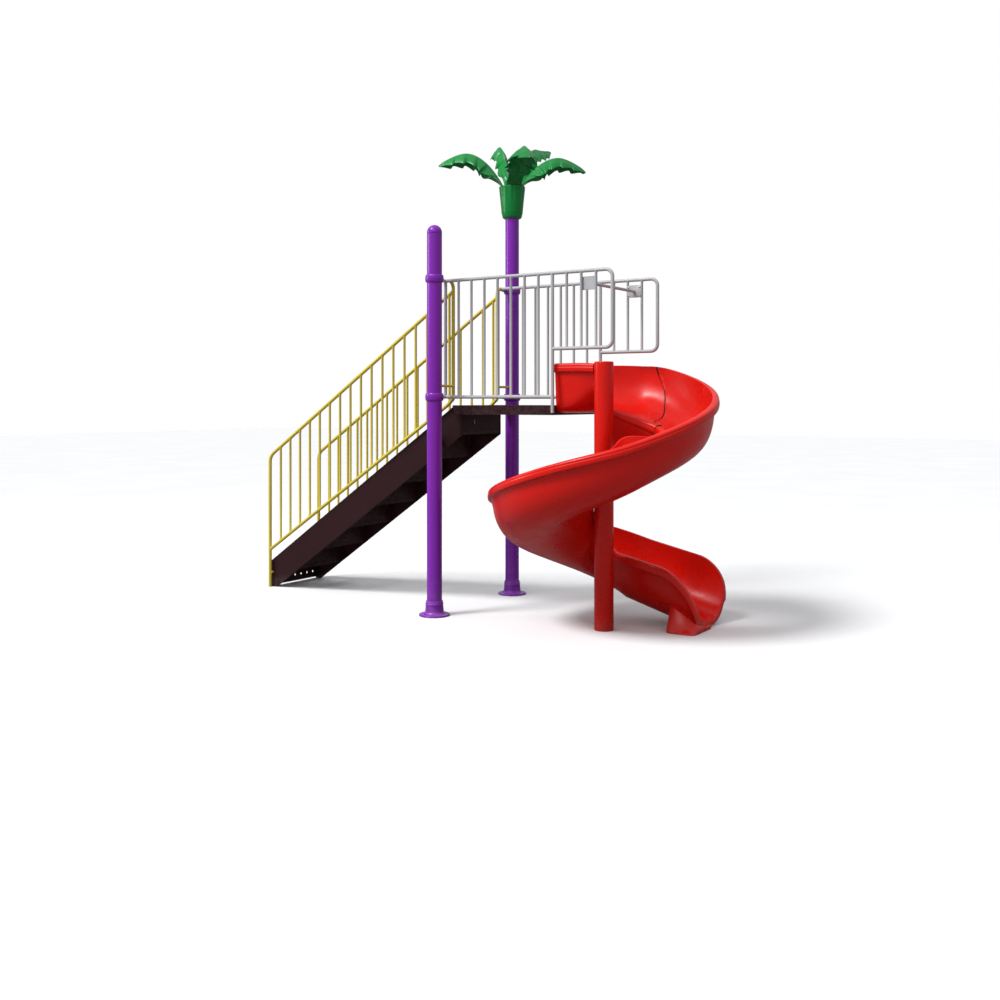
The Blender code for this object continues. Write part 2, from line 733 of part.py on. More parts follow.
def leaf_half_width(part, radius, widest):
    """Half a leaf's width along its length, with saw teeth that point to the tip."""
    tooth = (part * LEAF_TEETH) % 1.0
    along = min(part * LEAF_TIP_SHARE + 1 - LEAF_TIP_SHARE, 1.0)
    half_width = widest * math.sin(math.pi * along) ** LEAF_FULLNESS * (1 - LEAF_TOOTH_DEPTH * tooth)
    half_width = min(half_width, LEAF_ROOT_HALF_WIDTH + LEAF_SPREAD * (radius - LEAF_ROOT_RADIUS))
    return max(half_width, LEAF_TIP_HALF_WIDTH)


def build_palm_leaf(number, azimuth, peak, tip, widest):
    turn = math.radians(CROWN_AZIMUTH + azimuth)
    outward = Vector((math.cos(turn), math.sin(turn), 0.0))
    across = Vector((-math.sin(turn), math.cos(turn), 0.0))
    upward = Vector((0.0, 0.0, 1.0))
    axis = Vector((0.0, POST_SPACING, 0.0))
    loops = []
    for i in range(LEAF_STATIONS):
        part = i / (LEAF_STATIONS - 1)
        rise = math.sin(math.pi / 2 * min(part / LEAF_PEAK_PLACE, 1.0))
        fall = max(part - LEAF_PEAK_PLACE, 0.0) / (1 - LEAF_PEAK_PLACE)
        height = between(COLLAR_TOP + GAP, peak, rise) - (peak - tip) * fall ** LEAF_TIP_CURVE
        radius = between(LEAF_ROOT_RADIUS, LEAF_REACH, part ** LEAF_REACH_POWER)
        half_width = leaf_half_width(part, radius, widest)
        lean = smooth_step(part / LEAF_UPRIGHT_PLACE)
        up = (upward * lean - outward * (1 - lean)).normalized()
        droop = LEAF_DROOP * smooth_step(part / LEAF_DROOP_START) * half_width / widest
        place = axis + outward * radius + upward * height
        loops.append(leaf_loop(place, across, up, half_width, droop, LEAF_THICKNESS))
    leaf = loft(f"palm_leaf_{number}", loops, GREEN)
    shade(leaf, 60)


def side_curve(middle, lip, lip_drop, depth, squareness=TROUGH_SQUARENESS):
    """Points of one side of the trough, from its lip down to just before the floor's middle."""
    power = 2 / squareness
    start = math.asin(min((lip_drop / depth) ** (1 / power), 0.999))
    reach = (lip - middle) / math.cos(start) ** power
    points = []
    for i in range(SIDE_STEPS):
        turn = between(start, math.pi / 2, i / SIDE_STEPS)
        points.append((middle + reach * math.cos(turn) ** power, -depth * math.sin(turn) ** power))
    return points


def rim(lip, drop, side, scale):
    """The rolled rim from the lip outwards and down; side is +1 away from the post, -1 towards it."""
    return [(lip + side * out, -drop + down * scale) for out, down in RIM_OUTLINE]


def trough_section(inner, inner_drop, outer, outer_drop, depth, squareness=TROUGH_SQUARENESS,
                   skin=TROUGH_SKIN):
    """The trough's outline as (radius, height below the rim's level) round its whole skin.

    The squareness given is that of the inner wall's outer face.
    """
    lip_out = outer - RIM_WIDTH
    lip_in = inner + RIM_WIDTH
    middle = between(inner, outer, FLOOR_PLACE)
    inside = side_curve(middle, lip_out, outer_drop, depth)
    inside.append((middle, -depth))
    inside += side_curve(middle, lip_in, inner_drop, depth)[::-1]
    full_depth = depth + skin
    inner_scale = min(1.0, LOW_RIM_SHARE * (full_depth - inner_drop) / RIM_HEIGHT)
    outer_scale = min(1.0, LOW_RIM_SHARE * (full_depth - outer_drop) / RIM_HEIGHT)
    inner_rim = rim(lip_in, inner_drop, -1, inner_scale)
    outer_rim = rim(lip_out, outer_drop, 1, outer_scale)
    wall_in = side_curve(
        middle, lip_in - WALL_STANDOFF, inner_drop + RIM_HEIGHT * inner_scale, full_depth, squareness)
    wall_out = side_curve(
        middle, lip_out + WALL_STANDOFF, outer_drop + RIM_HEIGHT * outer_scale, full_depth)
    outside = wall_in[1:] + [(middle, -full_depth)] + wall_out[:0:-1]
    return inside + inner_rim + outside + outer_rim[::-1]


def straight_loop(x, rim_top, section):
    return [(x, AXIS_Y + radius, rim_top + height) for radius, height in section]


def turned_loop(degrees, rim_top, section):
    turn = math.radians(degrees)
    loop = []
    for radius, height in section:
        x = AXIS_X + radius * math.sin(turn)
        y = AXIS_Y + radius * math.cos(turn)
        loop.append((x, y, rim_top + height))
    return loop


def spiral_rim_top(degrees):
    """The outer rim's height: level at the entry, then a steady drop, less steep in the low turn.

    Where the spiral passes in front of the post, its rim sags a little.
    """
    steady = RIM_TOP_AT_START - RIM_DROP_PER_DEGREE * degrees
    below_entry = RIM_TOP_AT_ENTRY - steady
    eased = RIM_TOP_AT_ENTRY - (below_entry + math.hypot(below_entry, ENTRY_EASE)) / 2
    sag = RIM_SAG * math.exp(-((degrees - RIM_SAG_PLACE) / RIM_SAG_SPAN) ** 2)
    return eased - sag + LOW_TURN_RISE * smooth_step((degrees - LOW_TURN_START) / LOW_TURN_SPAN)


def trough_depth(degrees):
    return TROUGH_DEPTH + DEPTH_GAIN * smooth_step((degrees - DEPTH_GAIN_START) / DEPTH_GAIN_SPAN)


def spiral_inner(degrees):
    """Inner edge's radius and drop: a low lip that swings out, then a full wall by the post."""
    for before, after in zip(INNER_EDGE, INNER_EDGE[1:]):
        if degrees < after[0]:
            part = smooth_step((degrees - before[0]) / (after[0] - before[0]))
            return between(before[1], after[1], part), between(before[2], after[2], part)
    return INNER_EDGE[-1][1:]


def build_slide_entry():
    near_radius = ENTRY_NEAR_Y - AXIS_Y
    far_radius = ENTRY_FAR_Y - AXIS_Y
    post_left = SLIDE_POST_X - SLIDE_POST_RADIUS - GAP
    loops = []
    for x in (ENTRY_START_X, 0.960, 1.050, 1.130, post_left - 0.0006):
        outer = between(far_radius, RIM_RADIUS, smooth_step((x - ENTRY_START_X) / (AXIS_X - ENTRY_START_X)))
        along = (x - ENTRY_START_X) / (post_left - ENTRY_START_X)
        squareness = between(ENTRY_SQUARENESS, TROUGH_SQUARENESS, smooth_step(along))
        section = trough_section(near_radius, 0.0, outer, 0.0, TROUGH_DEPTH, squareness)
        loops.append(straight_loop(x, RIM_TOP_AT_ENTRY, section))
    start_radius, start_drop = spiral_inner(0.0)
    for x in (post_left, between(post_left, AXIS_X, 0.5), AXIS_X - GAP):
        part = smooth_step((x - ENTRY_START_X) / (AXIS_X - ENTRY_START_X))
        outer = between(far_radius, RIM_RADIUS, part)
        top = between(RIM_TOP_AT_ENTRY, spiral_rim_top(0.0), part ** 4)
        section = trough_section(start_radius, start_drop, outer, 0.0, TROUGH_DEPTH)
        loops.append(straight_loop(x, top, section))
    shade(loft("slide_entry", loops, RED), 50)


def build_spiral(name, start, end):
    count = round((end - start) / SPIRAL_STEP)
    loops = []
    for i in range(count + 1):
        degrees = between(start, end - SECTION_GAP_DEGREES, i / count)
        inner, drop = spiral_inner(degrees)
        section = trough_section(inner, drop, RIM_RADIUS, 0.0, trough_depth(degrees))
        loops.append(turned_loop(degrees, spiral_rim_top(degrees), section))
    shade(loft(name, loops, RED), 50)


def exit_rim_top(x):
    return spiral_rim_top(360.0) - EXIT_SLOPE * (x - AXIS_X)


def exit_skin(x):
    """The floor gets thicker towards the open end, and its underside levels out above the ground."""
    skin = TROUGH_SKIN + EXIT_SKIN_GAIN * (x - AXIS_X) / (EXIT_END_X - AXIS_X)
    return min(skin, exit_rim_top(x) - trough_depth(360.0) - EXIT_GROUND_CLEARANCE)


def rounded_end(x, corner):
    """How far a wall's top rounds down towards the open end."""
    along = max(x - (EXIT_END_X - corner), 0.0)
    return corner - math.sqrt(max(corner ** 2 - along ** 2, 0.0))


def cut_wall(middle, lip, drop):
    """Where the curve of a wall from the floor's middle to the lip is when it is cut down by drop."""
    power = 2 / TROUGH_SQUARENESS
    start = math.asin(min((drop / trough_depth(360.0)) ** (1 / power), 0.999))
    return middle + (lip - middle) * math.cos(start) ** power


def exit_section(x):
    """A section near the open end: the walls keep their curve and are cut down to the rounded end."""
    outer_drop = rounded_end(x, EXIT_CORNER)
    inner_drop = INNER_WALL_DROP + rounded_end(x, EXIT_NEAR_CORNER)
    middle = between(INNER_RADIUS, RIM_RADIUS, FLOOR_PLACE)
    outer = cut_wall(middle, RIM_RADIUS - RIM_WIDTH, outer_drop) + RIM_WIDTH
    inner = cut_wall(middle, INNER_RADIUS + RIM_WIDTH, inner_drop - INNER_WALL_DROP) - RIM_WIDTH
    part = (x - AXIS_X) / (EXIT_END_X - AXIS_X)
    squareness = between(TROUGH_SQUARENESS, EXIT_SQUARENESS, part)
    return trough_section(inner, inner_drop, outer, outer_drop, trough_depth(360.0), squareness, exit_skin(x))


def exit_places():
    """The places of the exit's sections along X, closer together where the walls round down."""
    places = [AXIS_X, 1.350, 1.450]
    for i in range(10):
        places.append(EXIT_END_X - EXIT_NEAR_CORNER * (1 - math.sin(math.radians(90 * i / 9))))
    return places


def build_slide_exit():
    loops = [straight_loop(x, exit_rim_top(x), exit_section(x)) for x in exit_places()]
    shade(loft("slide_exit", loops, RED), 50)


def foot_hollow():
    """The space that the exit takes up, a little wider, up to well above the foot."""
    middle = between(INNER_RADIUS, RIM_RADIUS, FLOOR_PLACE)
    loops = []
    for x in exit_places() + [EXIT_END_X + GAP]:
        station = min(x, EXIT_END_X)
        loop = []
        for radius, height in exit_section(station)[2 * SIDE_STEPS + 1:]:
            y = AXIS_Y + middle + (radius - middle) * FOOT_HOLLOW_WIDENING
            loop.append((x, y, exit_rim_top(station) + height - GAP))
        loop.append((x, loop[-1][1], FOOT_HOLLOW_TOP + exit_rim_top(station)))
        loop.append((x, loop[0][1], FOOT_HOLLOW_TOP + exit_rim_top(station)))
        loops.append(loop)
    return loft("slide_foot_hollow", loops, None)


def build_slide_foot():
    """A moulded block with rounded corners and a sloping top, hollowed to carry the exit."""
    half_way = between(FOOT_NEAR_Y, FOOT_FAR_Y, 0.5)
    corners = [
        (FOOT_START_X, half_way, 0.0),
        (FOOT_START_X, FOOT_NEAR_Y, 0.0),
        (FOOT_END_X, FOOT_NEAR_Y, 0.0),
        (FOOT_END_X, FOOT_FAR_Y - FOOT_FAR_CHAMFER, 0.0),
        (FOOT_FAR_CHAMFER_X, FOOT_FAR_Y, 0.0),
        (FOOT_START_X, FOOT_FAR_Y, 0.0),
        (FOOT_START_X, half_way, 0.0),
    ]
    lower = filleted(corners, FOOT_CORNER, 4)[:-1]
    upper = []
    for x, y, _ in lower:
        part = (x - FOOT_START_X) / (FOOT_END_X - FOOT_START_X)
        upper.append((x, y, between(FOOT_TOP, FOOT_TOE_TOP, part)))
    boolean(loft("slide_foot", [lower, upper], RED), foot_hollow(), "DIFFERENCE")


def build_slide_post():
    crown = 0.008
    outline = [
        (0.0, SLIDE_POST_TOP),
        (SLIDE_POST_RADIUS - crown, SLIDE_POST_TOP),
        (SLIDE_POST_RADIUS - 0.002, SLIDE_POST_TOP - 0.003),
        (SLIDE_POST_RADIUS, SLIDE_POST_TOP - crown),
        (SLIDE_POST_RADIUS, 0.0),
        (0.0, 0.0),
    ]
    turned("slide_post", outline, (SLIDE_POST_X, SLIDE_POST_Y, 0.0), RED)


clear_scene()
parts = new_collection("playground_slide")
cutters = new_collection("playground_slide_cutters")

build_posts()
build_clamps()
build_deck()
build_barrier("front_barrier", BARRIER_PLANES["front_barrier"], 0.0)
build_barrier("rear_barrier", BARRIER_PLANES["rear_barrier"], POST_SPACING)
build_safety_bar()
build_handrail("near_handrail", HANDRAIL_PLANES["near_handrail"], BARRIER_PLANES["front_barrier"], 0.0)
build_handrail("far_handrail", HANDRAIL_PLANES["far_handrail"], BARRIER_PLANES["rear_barrier"], POST_SPACING)
build_stringer("near_stringer", STRINGER_PLANES["near_stringer"], 1)
build_stringer("far_stringer", STRINGER_PLANES["far_stringer"], -1)
build_steps()
build_top_riser()
build_stair_bracket()
build_deck_bracket()
build_palm_collar()
for index, leaf in enumerate(zip(LEAF_AZIMUTHS, LEAF_PEAKS, LEAF_TIPS, LEAF_HALF_WIDTHS)):
    build_palm_leaf(index + 1, *leaf)
build_slide_post()
build_slide_entry()
build_spiral("slide_spiral_upper", 0.0, 180.0)
build_spiral("slide_spiral_lower", 180.0, 360.0)
build_slide_exit()
build_slide_foot()
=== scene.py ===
"""Looks of the playground slide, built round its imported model.

Metres, +Z up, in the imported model's frame: the origin is the foot of the front post, X runs
towards the slide and Y towards the rear post. The moulded slide, tubes, posts and palm are
made again with finer meshes on the same sizes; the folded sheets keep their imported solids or
get their holes here.
"""
import functools
import math

import bmesh
import bpy
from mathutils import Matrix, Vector


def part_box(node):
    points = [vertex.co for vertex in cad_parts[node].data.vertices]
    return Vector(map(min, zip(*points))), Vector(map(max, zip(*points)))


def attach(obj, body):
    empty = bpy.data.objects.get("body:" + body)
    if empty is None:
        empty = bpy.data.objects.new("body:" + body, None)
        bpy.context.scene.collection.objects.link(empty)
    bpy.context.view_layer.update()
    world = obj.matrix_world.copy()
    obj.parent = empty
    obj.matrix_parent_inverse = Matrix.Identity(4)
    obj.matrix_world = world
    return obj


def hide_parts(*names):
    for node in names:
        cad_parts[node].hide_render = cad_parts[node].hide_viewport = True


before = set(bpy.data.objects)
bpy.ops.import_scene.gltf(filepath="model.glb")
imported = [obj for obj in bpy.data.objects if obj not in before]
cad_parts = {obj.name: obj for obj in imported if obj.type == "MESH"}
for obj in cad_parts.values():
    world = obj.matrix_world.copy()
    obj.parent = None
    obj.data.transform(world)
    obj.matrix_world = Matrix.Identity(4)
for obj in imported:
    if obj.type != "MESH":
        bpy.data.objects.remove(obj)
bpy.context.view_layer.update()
UP = Vector((0.0, 0.0, 1.0))
X_AXIS = Vector((1.0, 0.0, 0.0))
Y_AXIS = Vector((0.0, 1.0, 0.0))
SQUARE = ((1, 1), (-1, 1), (-1, -1), (1, -1))

# Viewpoint: a level camera in front, on the slide's side
EYE = Vector((4.642, -6.235, 1.531))
VIEW_DIRECTION = Vector((-0.548, 0.837, 0.0))
LENS = 39.08
LENS_SHIFT = -0.099

# Lights: kind, place to the right, ahead and up of the lit place as the camera sees it, power,
# size (a sun's in degrees) and the height of an oblong one
LIT_PLACE = Vector((0.0, 0.5, 1.4))
LIGHTS = {
    "key_sun": ("SUN", (-4.5, -2.1, 6.5), 2.4, 16.0, None),
    "wide_softbox": ("AREA", (-3.6, -5.0, 6.0), 230.0, 6.5, 1.8),
    "side_softbox": ("AREA", (-5.5, 0.5, 2.0), 60.0, 2.0, None),
}
SKY_COLOUR = (0.97, 0.985, 1.0, 1.0)
SKY_LOW = 0.30
SKY_HIGH = 0.70
FLOOR_REACH = 40.0

# Finishes; bumps are noise scale, noise detail, strength and distance, the finest first
PAINT_BUMPS = ((420.0, 2.0, 0.05, 0.0005), (30.0, 2.0, 0.03, 0.0010))
PLASTIC_BUMPS = ((260.0, 3.0, 0.07, 0.0008), (7.0, 2.0, 0.10, 0.0060))
COATING_BUMPS = ((520.0, 4.0, 0.12, 0.0005), (26.0, 3.0, 0.05, 0.0012))
FLOOR_BUMPS = ((90.0, 3.0, 0.04, 0.001),)
DUST = (0.42, 0.36, 0.32)
DUST_TOP = 0.12
PAINT_DUST_TOP = 0.30
FLOOR_THROWN_BACK = (0.22, 0.22, 0.23)
PALE_SCUFF = (0.80, 0.20, 0.14)

# Tubes, welds and bolts; where a tube ends in another one, it is thinner by the tuck
RAIL_SIDES = 28
BAR_SIDES = 14
TUBE_CHAMFER = 0.12
TUCK = 0.0005
WELD_SIZE = 0.0022
# Along the bar in shares of the rail's radius and in weld sizes, and how far the weld stands out
WELD_PROFILE = ((0.0, 0.0, 0.0), (0.9, 0.0, 1.0), (1.0, 0.6, 0.55), (1.0, 2.0, 0.0))
BOLT_SIDES = 18
BOLT_FOOT = ((1.45, 0.0), (1.45, 0.0012), (1.0, 0.0014), (1.0, 0.0022))
SOCKET_SHARE = 0.30
# Radius and height of the bolts' heads
CLAMP_BOLT = STRAP_BOLT = (0.0065, 0.0045)
SAFETY_BOLT = (0.0055, 0.0035)
RISER_BOLT = (0.0045, 0.003)
PLUG_SIZE = (0.0085, 0.006)

# Posts
POST_RADIUS = 0.054
REAR_POST_Y = 1.031
FRONT_POST_TOP = 2.725
DOME_HEIGHT = 0.064
DOME_EDGE = 0.010
DOME_GAP = 0.0004
DOME_STEPS = 18
PLUG_HEIGHTS = (1.924, 2.246)
PLUG_DIRECTION = (0.837, 0.548)
REAR_POST_TOP = 3.000
FLANGE_RADIUS = 0.110
FLANGE_THICKNESS = 0.012
FLANGE_EDGE = 0.004
COVER_TOP_RADIUS = 0.061
COVER_FOOT_RADIUS = 0.066
COVER_TOP = 0.106
COVER_FLARE = 0.026
COVER_GROOVE_DROP = 0.024
COVER_LIP = ((-0.004, 0.0), (-0.001, 0.0012), (0.0, 0.004), (0.0008, 0.020))
CLAMP_RADIUS = 0.0665
CLAMP_HEIGHT = 0.056
CLAMP_STEPS = 24
CLAMP_FULLNESS = 0.6
CLAMP_EAR_REACH = 0.090
CLAMP_EAR_X = -0.024
CLAMP_EAR_HALF_HEIGHT = 0.014
CLAMP_EARS = ((-0.012, -0.003), (0.003, 0.012))

# Barriers
BARRIER_PLANES = {"front_barrier": (0.167, 0.0), "rear_barrier": (0.864, REAR_POST_Y)}
BARRIER_TOP = 2.405
BARRIER_BOTTOM = 1.560
BARRIER_WING_BOTTOM = 1.888
BARRIER_START_X = -0.024
BARRIER_END_X = 1.338
BARRIER_FIRST_BAR_X = 0.0932
BARRIER_PITCH = 0.1122
BARRIER_SHORT_BARS = 7
BARRIER_WING_BARS = 3
BARRIER_LONG_BAR_FOOT = 1.449
BARRIER_CORNER = 0.050
RAIL_RADIUS = 0.0125
BAR_RADIUS = 0.0095
BARRIER_SMALL_CORNER = RAIL_RADIUS * 1.3
BARRIER_SPLIT_X = 0.5
SAFETY_BAR_X = 1.159
SAFETY_BAR_Z = 2.322
SAFETY_BAR_RADIUS = 0.011
SAFETY_PLATE = (0.120, 0.004, 0.090)
SAFETY_PLATE_CORNER = 0.012
SAFETY_PLATE_EDGE = (0.0008, 0.985)
SAFETY_BOLT_PLACE = (0.045, 0.030)

# Handrails
HANDRAIL_PLANES = {
    "near_handrail": (0.2245, 0.167, 0.0),
    "far_handrail": (0.8065, 0.864, REAR_POST_Y),
}
HANDRAIL_RADIUS = 0.0135
HANDRAIL_FOOT_X = -1.855
HANDRAIL_SLOPE = 0.6765
HANDRAIL_TOP_START = 1.0765
HANDRAIL_LOW_START = 0.3065
HANDRAIL_LOW_SLOPE = 0.660
HANDRAIL_END_X = 0.004
HANDRAIL_END_FOOT = 1.545
HANDRAIL_END_TOP = 2.405
HANDRAIL_BEND = 0.055
HANDRAIL_TOP_BEND = 0.095
HANDRAIL_BEND_STEPS = 12
HANDRAIL_LOW_SETBACK = 0.055
HANDRAIL_LOW_BEND = 0.020
HANDRAIL_STUB = (-1.843, 0.120)
HANDRAIL_FIRST_BAR_X = -0.031
HANDRAIL_SECOND_BAR_X = -0.1279
HANDRAIL_PITCH = 0.1071
HANDRAIL_BARS = 16
HANDRAIL_LUG_Z = 1.640

# Stair and deck
DECK_SKIN = 0.006
DECK_BORDER = 0.028
STRINGER_INNER = (0.2563, 0.7747)
STRINGER_OUTER = (0.248, 0.783)
STEP_COUNT = 7
STEP_SKIN = 0.006
STEP_BORDER = 0.020
STEP_LIP = 0.030
HOLE_PITCH = 0.030
HOLE_RADIUS = 0.0085
HOLE_SIDES = 12
HOLE_CHAMFER = 0.0012
RISER_HOLE_PITCH = 0.072
RISER_HOLE_RADIUS = 0.009
RISER_HOLE_HEIGHT = 0.060
RISER_BOLT_OFF_CENTRE = -0.085
RISER_BOLT_DROPS = (0.048, 0.066)

# Palm crown
COLLAR_BOTTOM = 2.977
COLLAR_TOP = 3.231
COLLAR_LOW_RADIUS = 0.0795
COLLAR_TOP_RADIUS = 0.103
COLLAR_RIBS = 14
COLLAR_RIB_DEPTH = 0.0045
COLLAR_EDGE = 0.006
COLLAR_SOCKET = 0.05
COLLAR_FOOT = ((0.0, 0.028), (0.002, 0.016), (0.006, 0.007), (0.012, 0.001), (0.018, 0.0))
CROWN_AZIMUTH = 33.2
LEAF_AZIMUTHS = (0.0, 56.0, 107.0, 180.0, 283.0)
LEAF_PEAKS = (3.455, 3.590, 3.620, 3.490, 3.466)
LEAF_TIPS = (3.350, 3.620, 3.585, 3.400, 3.345)
LEAF_HALF_WIDTHS = (0.105, 0.075, 0.062, 0.105, 0.120)
LEAF_ROOT_RADIUS = 0.074
LEAF_ROOT_HALF_WIDTH = 0.060
LEAF_TIP_HALF_WIDTH = 0.010
LEAF_SPREAD = 0.54
LEAF_REACH = 0.585
LEAF_REACH_POWER = 1.15
LEAF_PEAK_PLACE = 0.62
LEAF_TIP_CURVE = 1.6
LEAF_TIP_SHARE = 0.86
LEAF_FULLNESS = 0.6
LEAF_UPRIGHT_PLACE = 0.55
LEAF_DROOP = 0.090
LEAF_DROOP_START = 0.18
LEAF_THICKNESS = 0.012
LEAF_STATIONS = 91
LEAF_ACROSS = 8
LEAF_TEETH = 6
LEAF_TOOTH_SHARE = 0.82
LEAF_TOOTH_SHIFT = 0.03
LEAF_TOOTH_DEPTH = 0.30
LEAF_TOOTH_HANG = 0.016
LEAF_MIDRIB = 0.007
LEAF_MIDRIB_WIDTH = 0.16
LEAF_FOLD = 0.0035
LEAF_FOLD_WAVES = 9.0
LEAF_TAPER = 0.06

# Slide
SLIDE_POST = (1.245, 0.2225)
SLIDE_POST_RADIUS = 0.065
SLIDE_POST_TOP = 1.795
SLIDE_POST_EDGE = 0.008
AXIS_X = 1.237
AXIS_Y = 0.2175
RIM_RADIUS = 0.769
INNER_RADIUS = 0.185
RIM_WIDTH = 0.045
RIM_HEIGHT = 0.062
WALL_STANDOFF = 0.014
RIM_OUTLINE = (
    (0.0, 0.0),
    (0.012, 0.003),
    (0.030, 0.000),
    (0.041, -0.010),
    (0.045, -0.030),
    (0.042, -0.055),
    (0.024, -0.062),
)
RIM_STEPS = 6
CLOSE_STANDOFF = 0.041
CLOSE_START = 165.0
CLOSE_START_SPAN = 45.0
CLOSE_END = 285.0
CLOSE_END_SPAN = 50.0
RIM_GROOVE_PLACE = -0.021
RIM_GROOVE_SPAN = 0.005
RIM_GROOVE_DEPTH = 0.0030
LOW_RIM_SHARE = 0.72
TROUGH_DEPTH = 0.322
DEPTH_GAIN = 0.035
DEPTH_GAIN_START = 110.0
DEPTH_GAIN_SPAN = 150.0
TROUGH_SKIN = 0.018
TROUGH_SQUARENESS = 2.6
ENTRY_SQUARENESS = 9.0
FLOOR_PLACE = 0.47
SIDE_STEPS = 16
INNER_WALL_DROP = 0.035
INNER_EDGE = (
    (0.0, 0.074, 0.295),
    (62.0, 0.375, 0.250),
    (125.0, INNER_RADIUS, 0.070),
    (160.0, INNER_RADIUS, INNER_WALL_DROP),
    (215.0, 0.059, INNER_WALL_DROP),
    (275.0, 0.059, INNER_WALL_DROP),
    (340.0, INNER_RADIUS, INNER_WALL_DROP),
)
ENTRY_START_X = 0.8733
ENTRY_FAR_Y = 0.850
ENTRY_NEAR_Y = 0.190
RIM_TOP_AT_ENTRY = 1.787
RIM_TOP_AT_START = 1.812
RIM_DROP_PER_DEGREE = 0.00378
ENTRY_EASE = 0.030
ENTRY_STEPS = 14
ENTRY_TURN_STEPS = 20
LOW_TURN_RISE = 0.074
LOW_TURN_START = 200.0
LOW_TURN_SPAN = 150.0
RIM_SAG = 0.014
RIM_SAG_PLACE = 143.0
RIM_SAG_SPAN = 22.0
EXIT_SLOPE = 0.220
EXIT_END_X = 1.812
EXIT_CORNER = 0.200
EXIT_NEAR_CORNER = 0.270
EXIT_SQUARENESS = 3.2
EXIT_SKIN_GAIN = 0.035
EXIT_GROUND_CLEARANCE = 0.012
SPIRAL_STEPS = 144

# The joint between the entry and the spiral runs aslant: each pair is a place on the section,
# from the outer lip (0) over the floor's middle (1) to the inner lip (2), and its turn in degrees
SEAM_TURNS = ((0.0, 4.5), (0.25, 11.0), (0.5, 14.5), (1.0, 25.0), (1.5, 40.0), (2.0, 52.0))
SEAM_FADE_DEGREES = 110.0
SEAM_HALF_GAP_DEGREES = 0.45
STRAP_DEGREES = 3.0
STRAP_THICKNESS = 0.006
STRAP_OUTLINE = ((-3.0, -0.002), (3.0, -0.002), (3.0, 0.0042), (2.7, 0.006), (-2.7, 0.006), (-3.0, 0.0042))
SEAL_DEPTH = 0.0025

# Web under the first turn
WEB_START_DEGREES = -8.0
WEB_END_DEGREES = 66.0
WEB_STEPS = 24
WEB_LOW = 1.195
WEB_LOW_END = 1.240
WEB_TOP_DROP = 0.020
WEB_INSET = 0.020
WEB_THICKNESS = 0.016
WEB_EDGE = 0.004

# Foot of the slide
FOOT_START_X = 1.620
FOOT_END_X = 1.835
FOOT_NEAR_Y = 0.350
FOOT_FAR_Y = 0.850
FOOT_TOP = 0.104
FOOT_TOE_TOP = 0.038
FOOT_EDGE_STEP = 0.015
FOOT_NEAR_RISE = 0.075
FOOT_NEAR_LEAN = 0.085
FOOT_CORNER = 0.040
FOOT_FAR_CHAMFER_X = 1.740
FOOT_FAR_CHAMFER = 0.200
FOOT_SINK = 0.004
FOOT_BLEND_TOP = 0.17
FOOT_VOXEL = 0.005
FOOT_SOFTENINGS = 45
FOOT_TRIM_GAP = 0.006
FOOT_TRIM_RISE = 0.4
FOOT_FLAT_BAND = 0.004


def between(low, high, part):
    return low + (high - low) * part


def smooth_step(part):
    part = min(max(part, 0.0), 1.0)
    return part * part * (3 - 2 * part)


class Nodes:
    """Short ways to add nodes to the tree of a material or of the world."""

    def __init__(self, owner, coordinates="Object"):
        owner.use_nodes = True
        self.owner = owner
        self.tree = owner.node_tree
        self.shader = self.tree.nodes.get("Principled BSDF")
        self.place = self.add("ShaderNodeTexCoord").outputs[coordinates]

    def add(self, kind, **values):
        node = self.tree.nodes.new(kind)
        for key, value in values.items():
            if hasattr(node, key):
                setattr(node, key, value)
            else:
                node.inputs[key.replace("_", " ")].default_value = value
        return node

    def link(self, source, target):
        self.tree.links.new(source, target)

    def set_shader(self, **values):
        for key, value in values.items():
            self.shader.inputs[key.replace("_", " ")].default_value = value

    def noise(self, scale, detail, stretch=None):
        """A noise between about 0.3 and 0.7; stretch makes it longer along an axis."""
        node = self.add("ShaderNodeTexNoise", Scale=scale, Detail=detail)
        place = self.place
        if stretch:
            mapping = self.add("ShaderNodeMapping", Scale=stretch)
            self.link(place, mapping.inputs["Vector"])
            place = mapping.outputs["Vector"]
        self.link(place, node.inputs["Vector"])
        return node.outputs["Fac"]

    def ranged(self, value, low, high, to_low=0.0, to_high=1.0):
        node = self.add("ShaderNodeMapRange", From_Min=low, From_Max=high, To_Min=to_low, To_Max=to_high)
        self.link(value, node.inputs["Value"])
        return node.outputs["Result"]

    def clouds(self, scale, detail, to_low=0.0, to_high=1.0, low=0.35, high=0.65):
        """Noise with its usual span drawn out to a range."""
        return self.ranged(self.noise(scale, detail), low, high, to_low, to_high)

    def product(self, *values):
        node = self.add("ShaderNodeMath", operation="MULTIPLY")
        for value, socket in zip(values, node.inputs):
            self.link(value, socket)
        return node.outputs["Value"]

    def mix(self, part, first, second):
        """A colour between two, which are colours or sockets."""
        node = self.add("ShaderNodeMix", data_type="RGBA")
        self.link(part, node.inputs["Factor"])
        for index, value in ((6, first), (7, second)):
            if isinstance(value, tuple):
                node.inputs[index].default_value = (*value, 1.0)
            else:
                self.link(value, node.inputs[index])
        return node.outputs[2]

    def height(self):
        split = self.add("ShaderNodeSeparateXYZ")
        self.link(self.place, split.inputs["Vector"])
        return split.outputs["Z"]

    def bump(self, value, strength, distance, after=None):
        node = self.add("ShaderNodeBump", Strength=strength, Distance=distance)
        self.link(value, node.inputs["Height"])
        if after:
            self.link(after, node.inputs["Normal"])
        return node.outputs["Normal"]

    def bumps(self, layers):
        normal = None
        for scale, detail, strength, distance in layers:
            normal = self.bump(self.noise(scale, detail), strength, distance, normal)
        return normal


def material_nodes(name):
    return Nodes(bpy.data.materials.new(name))


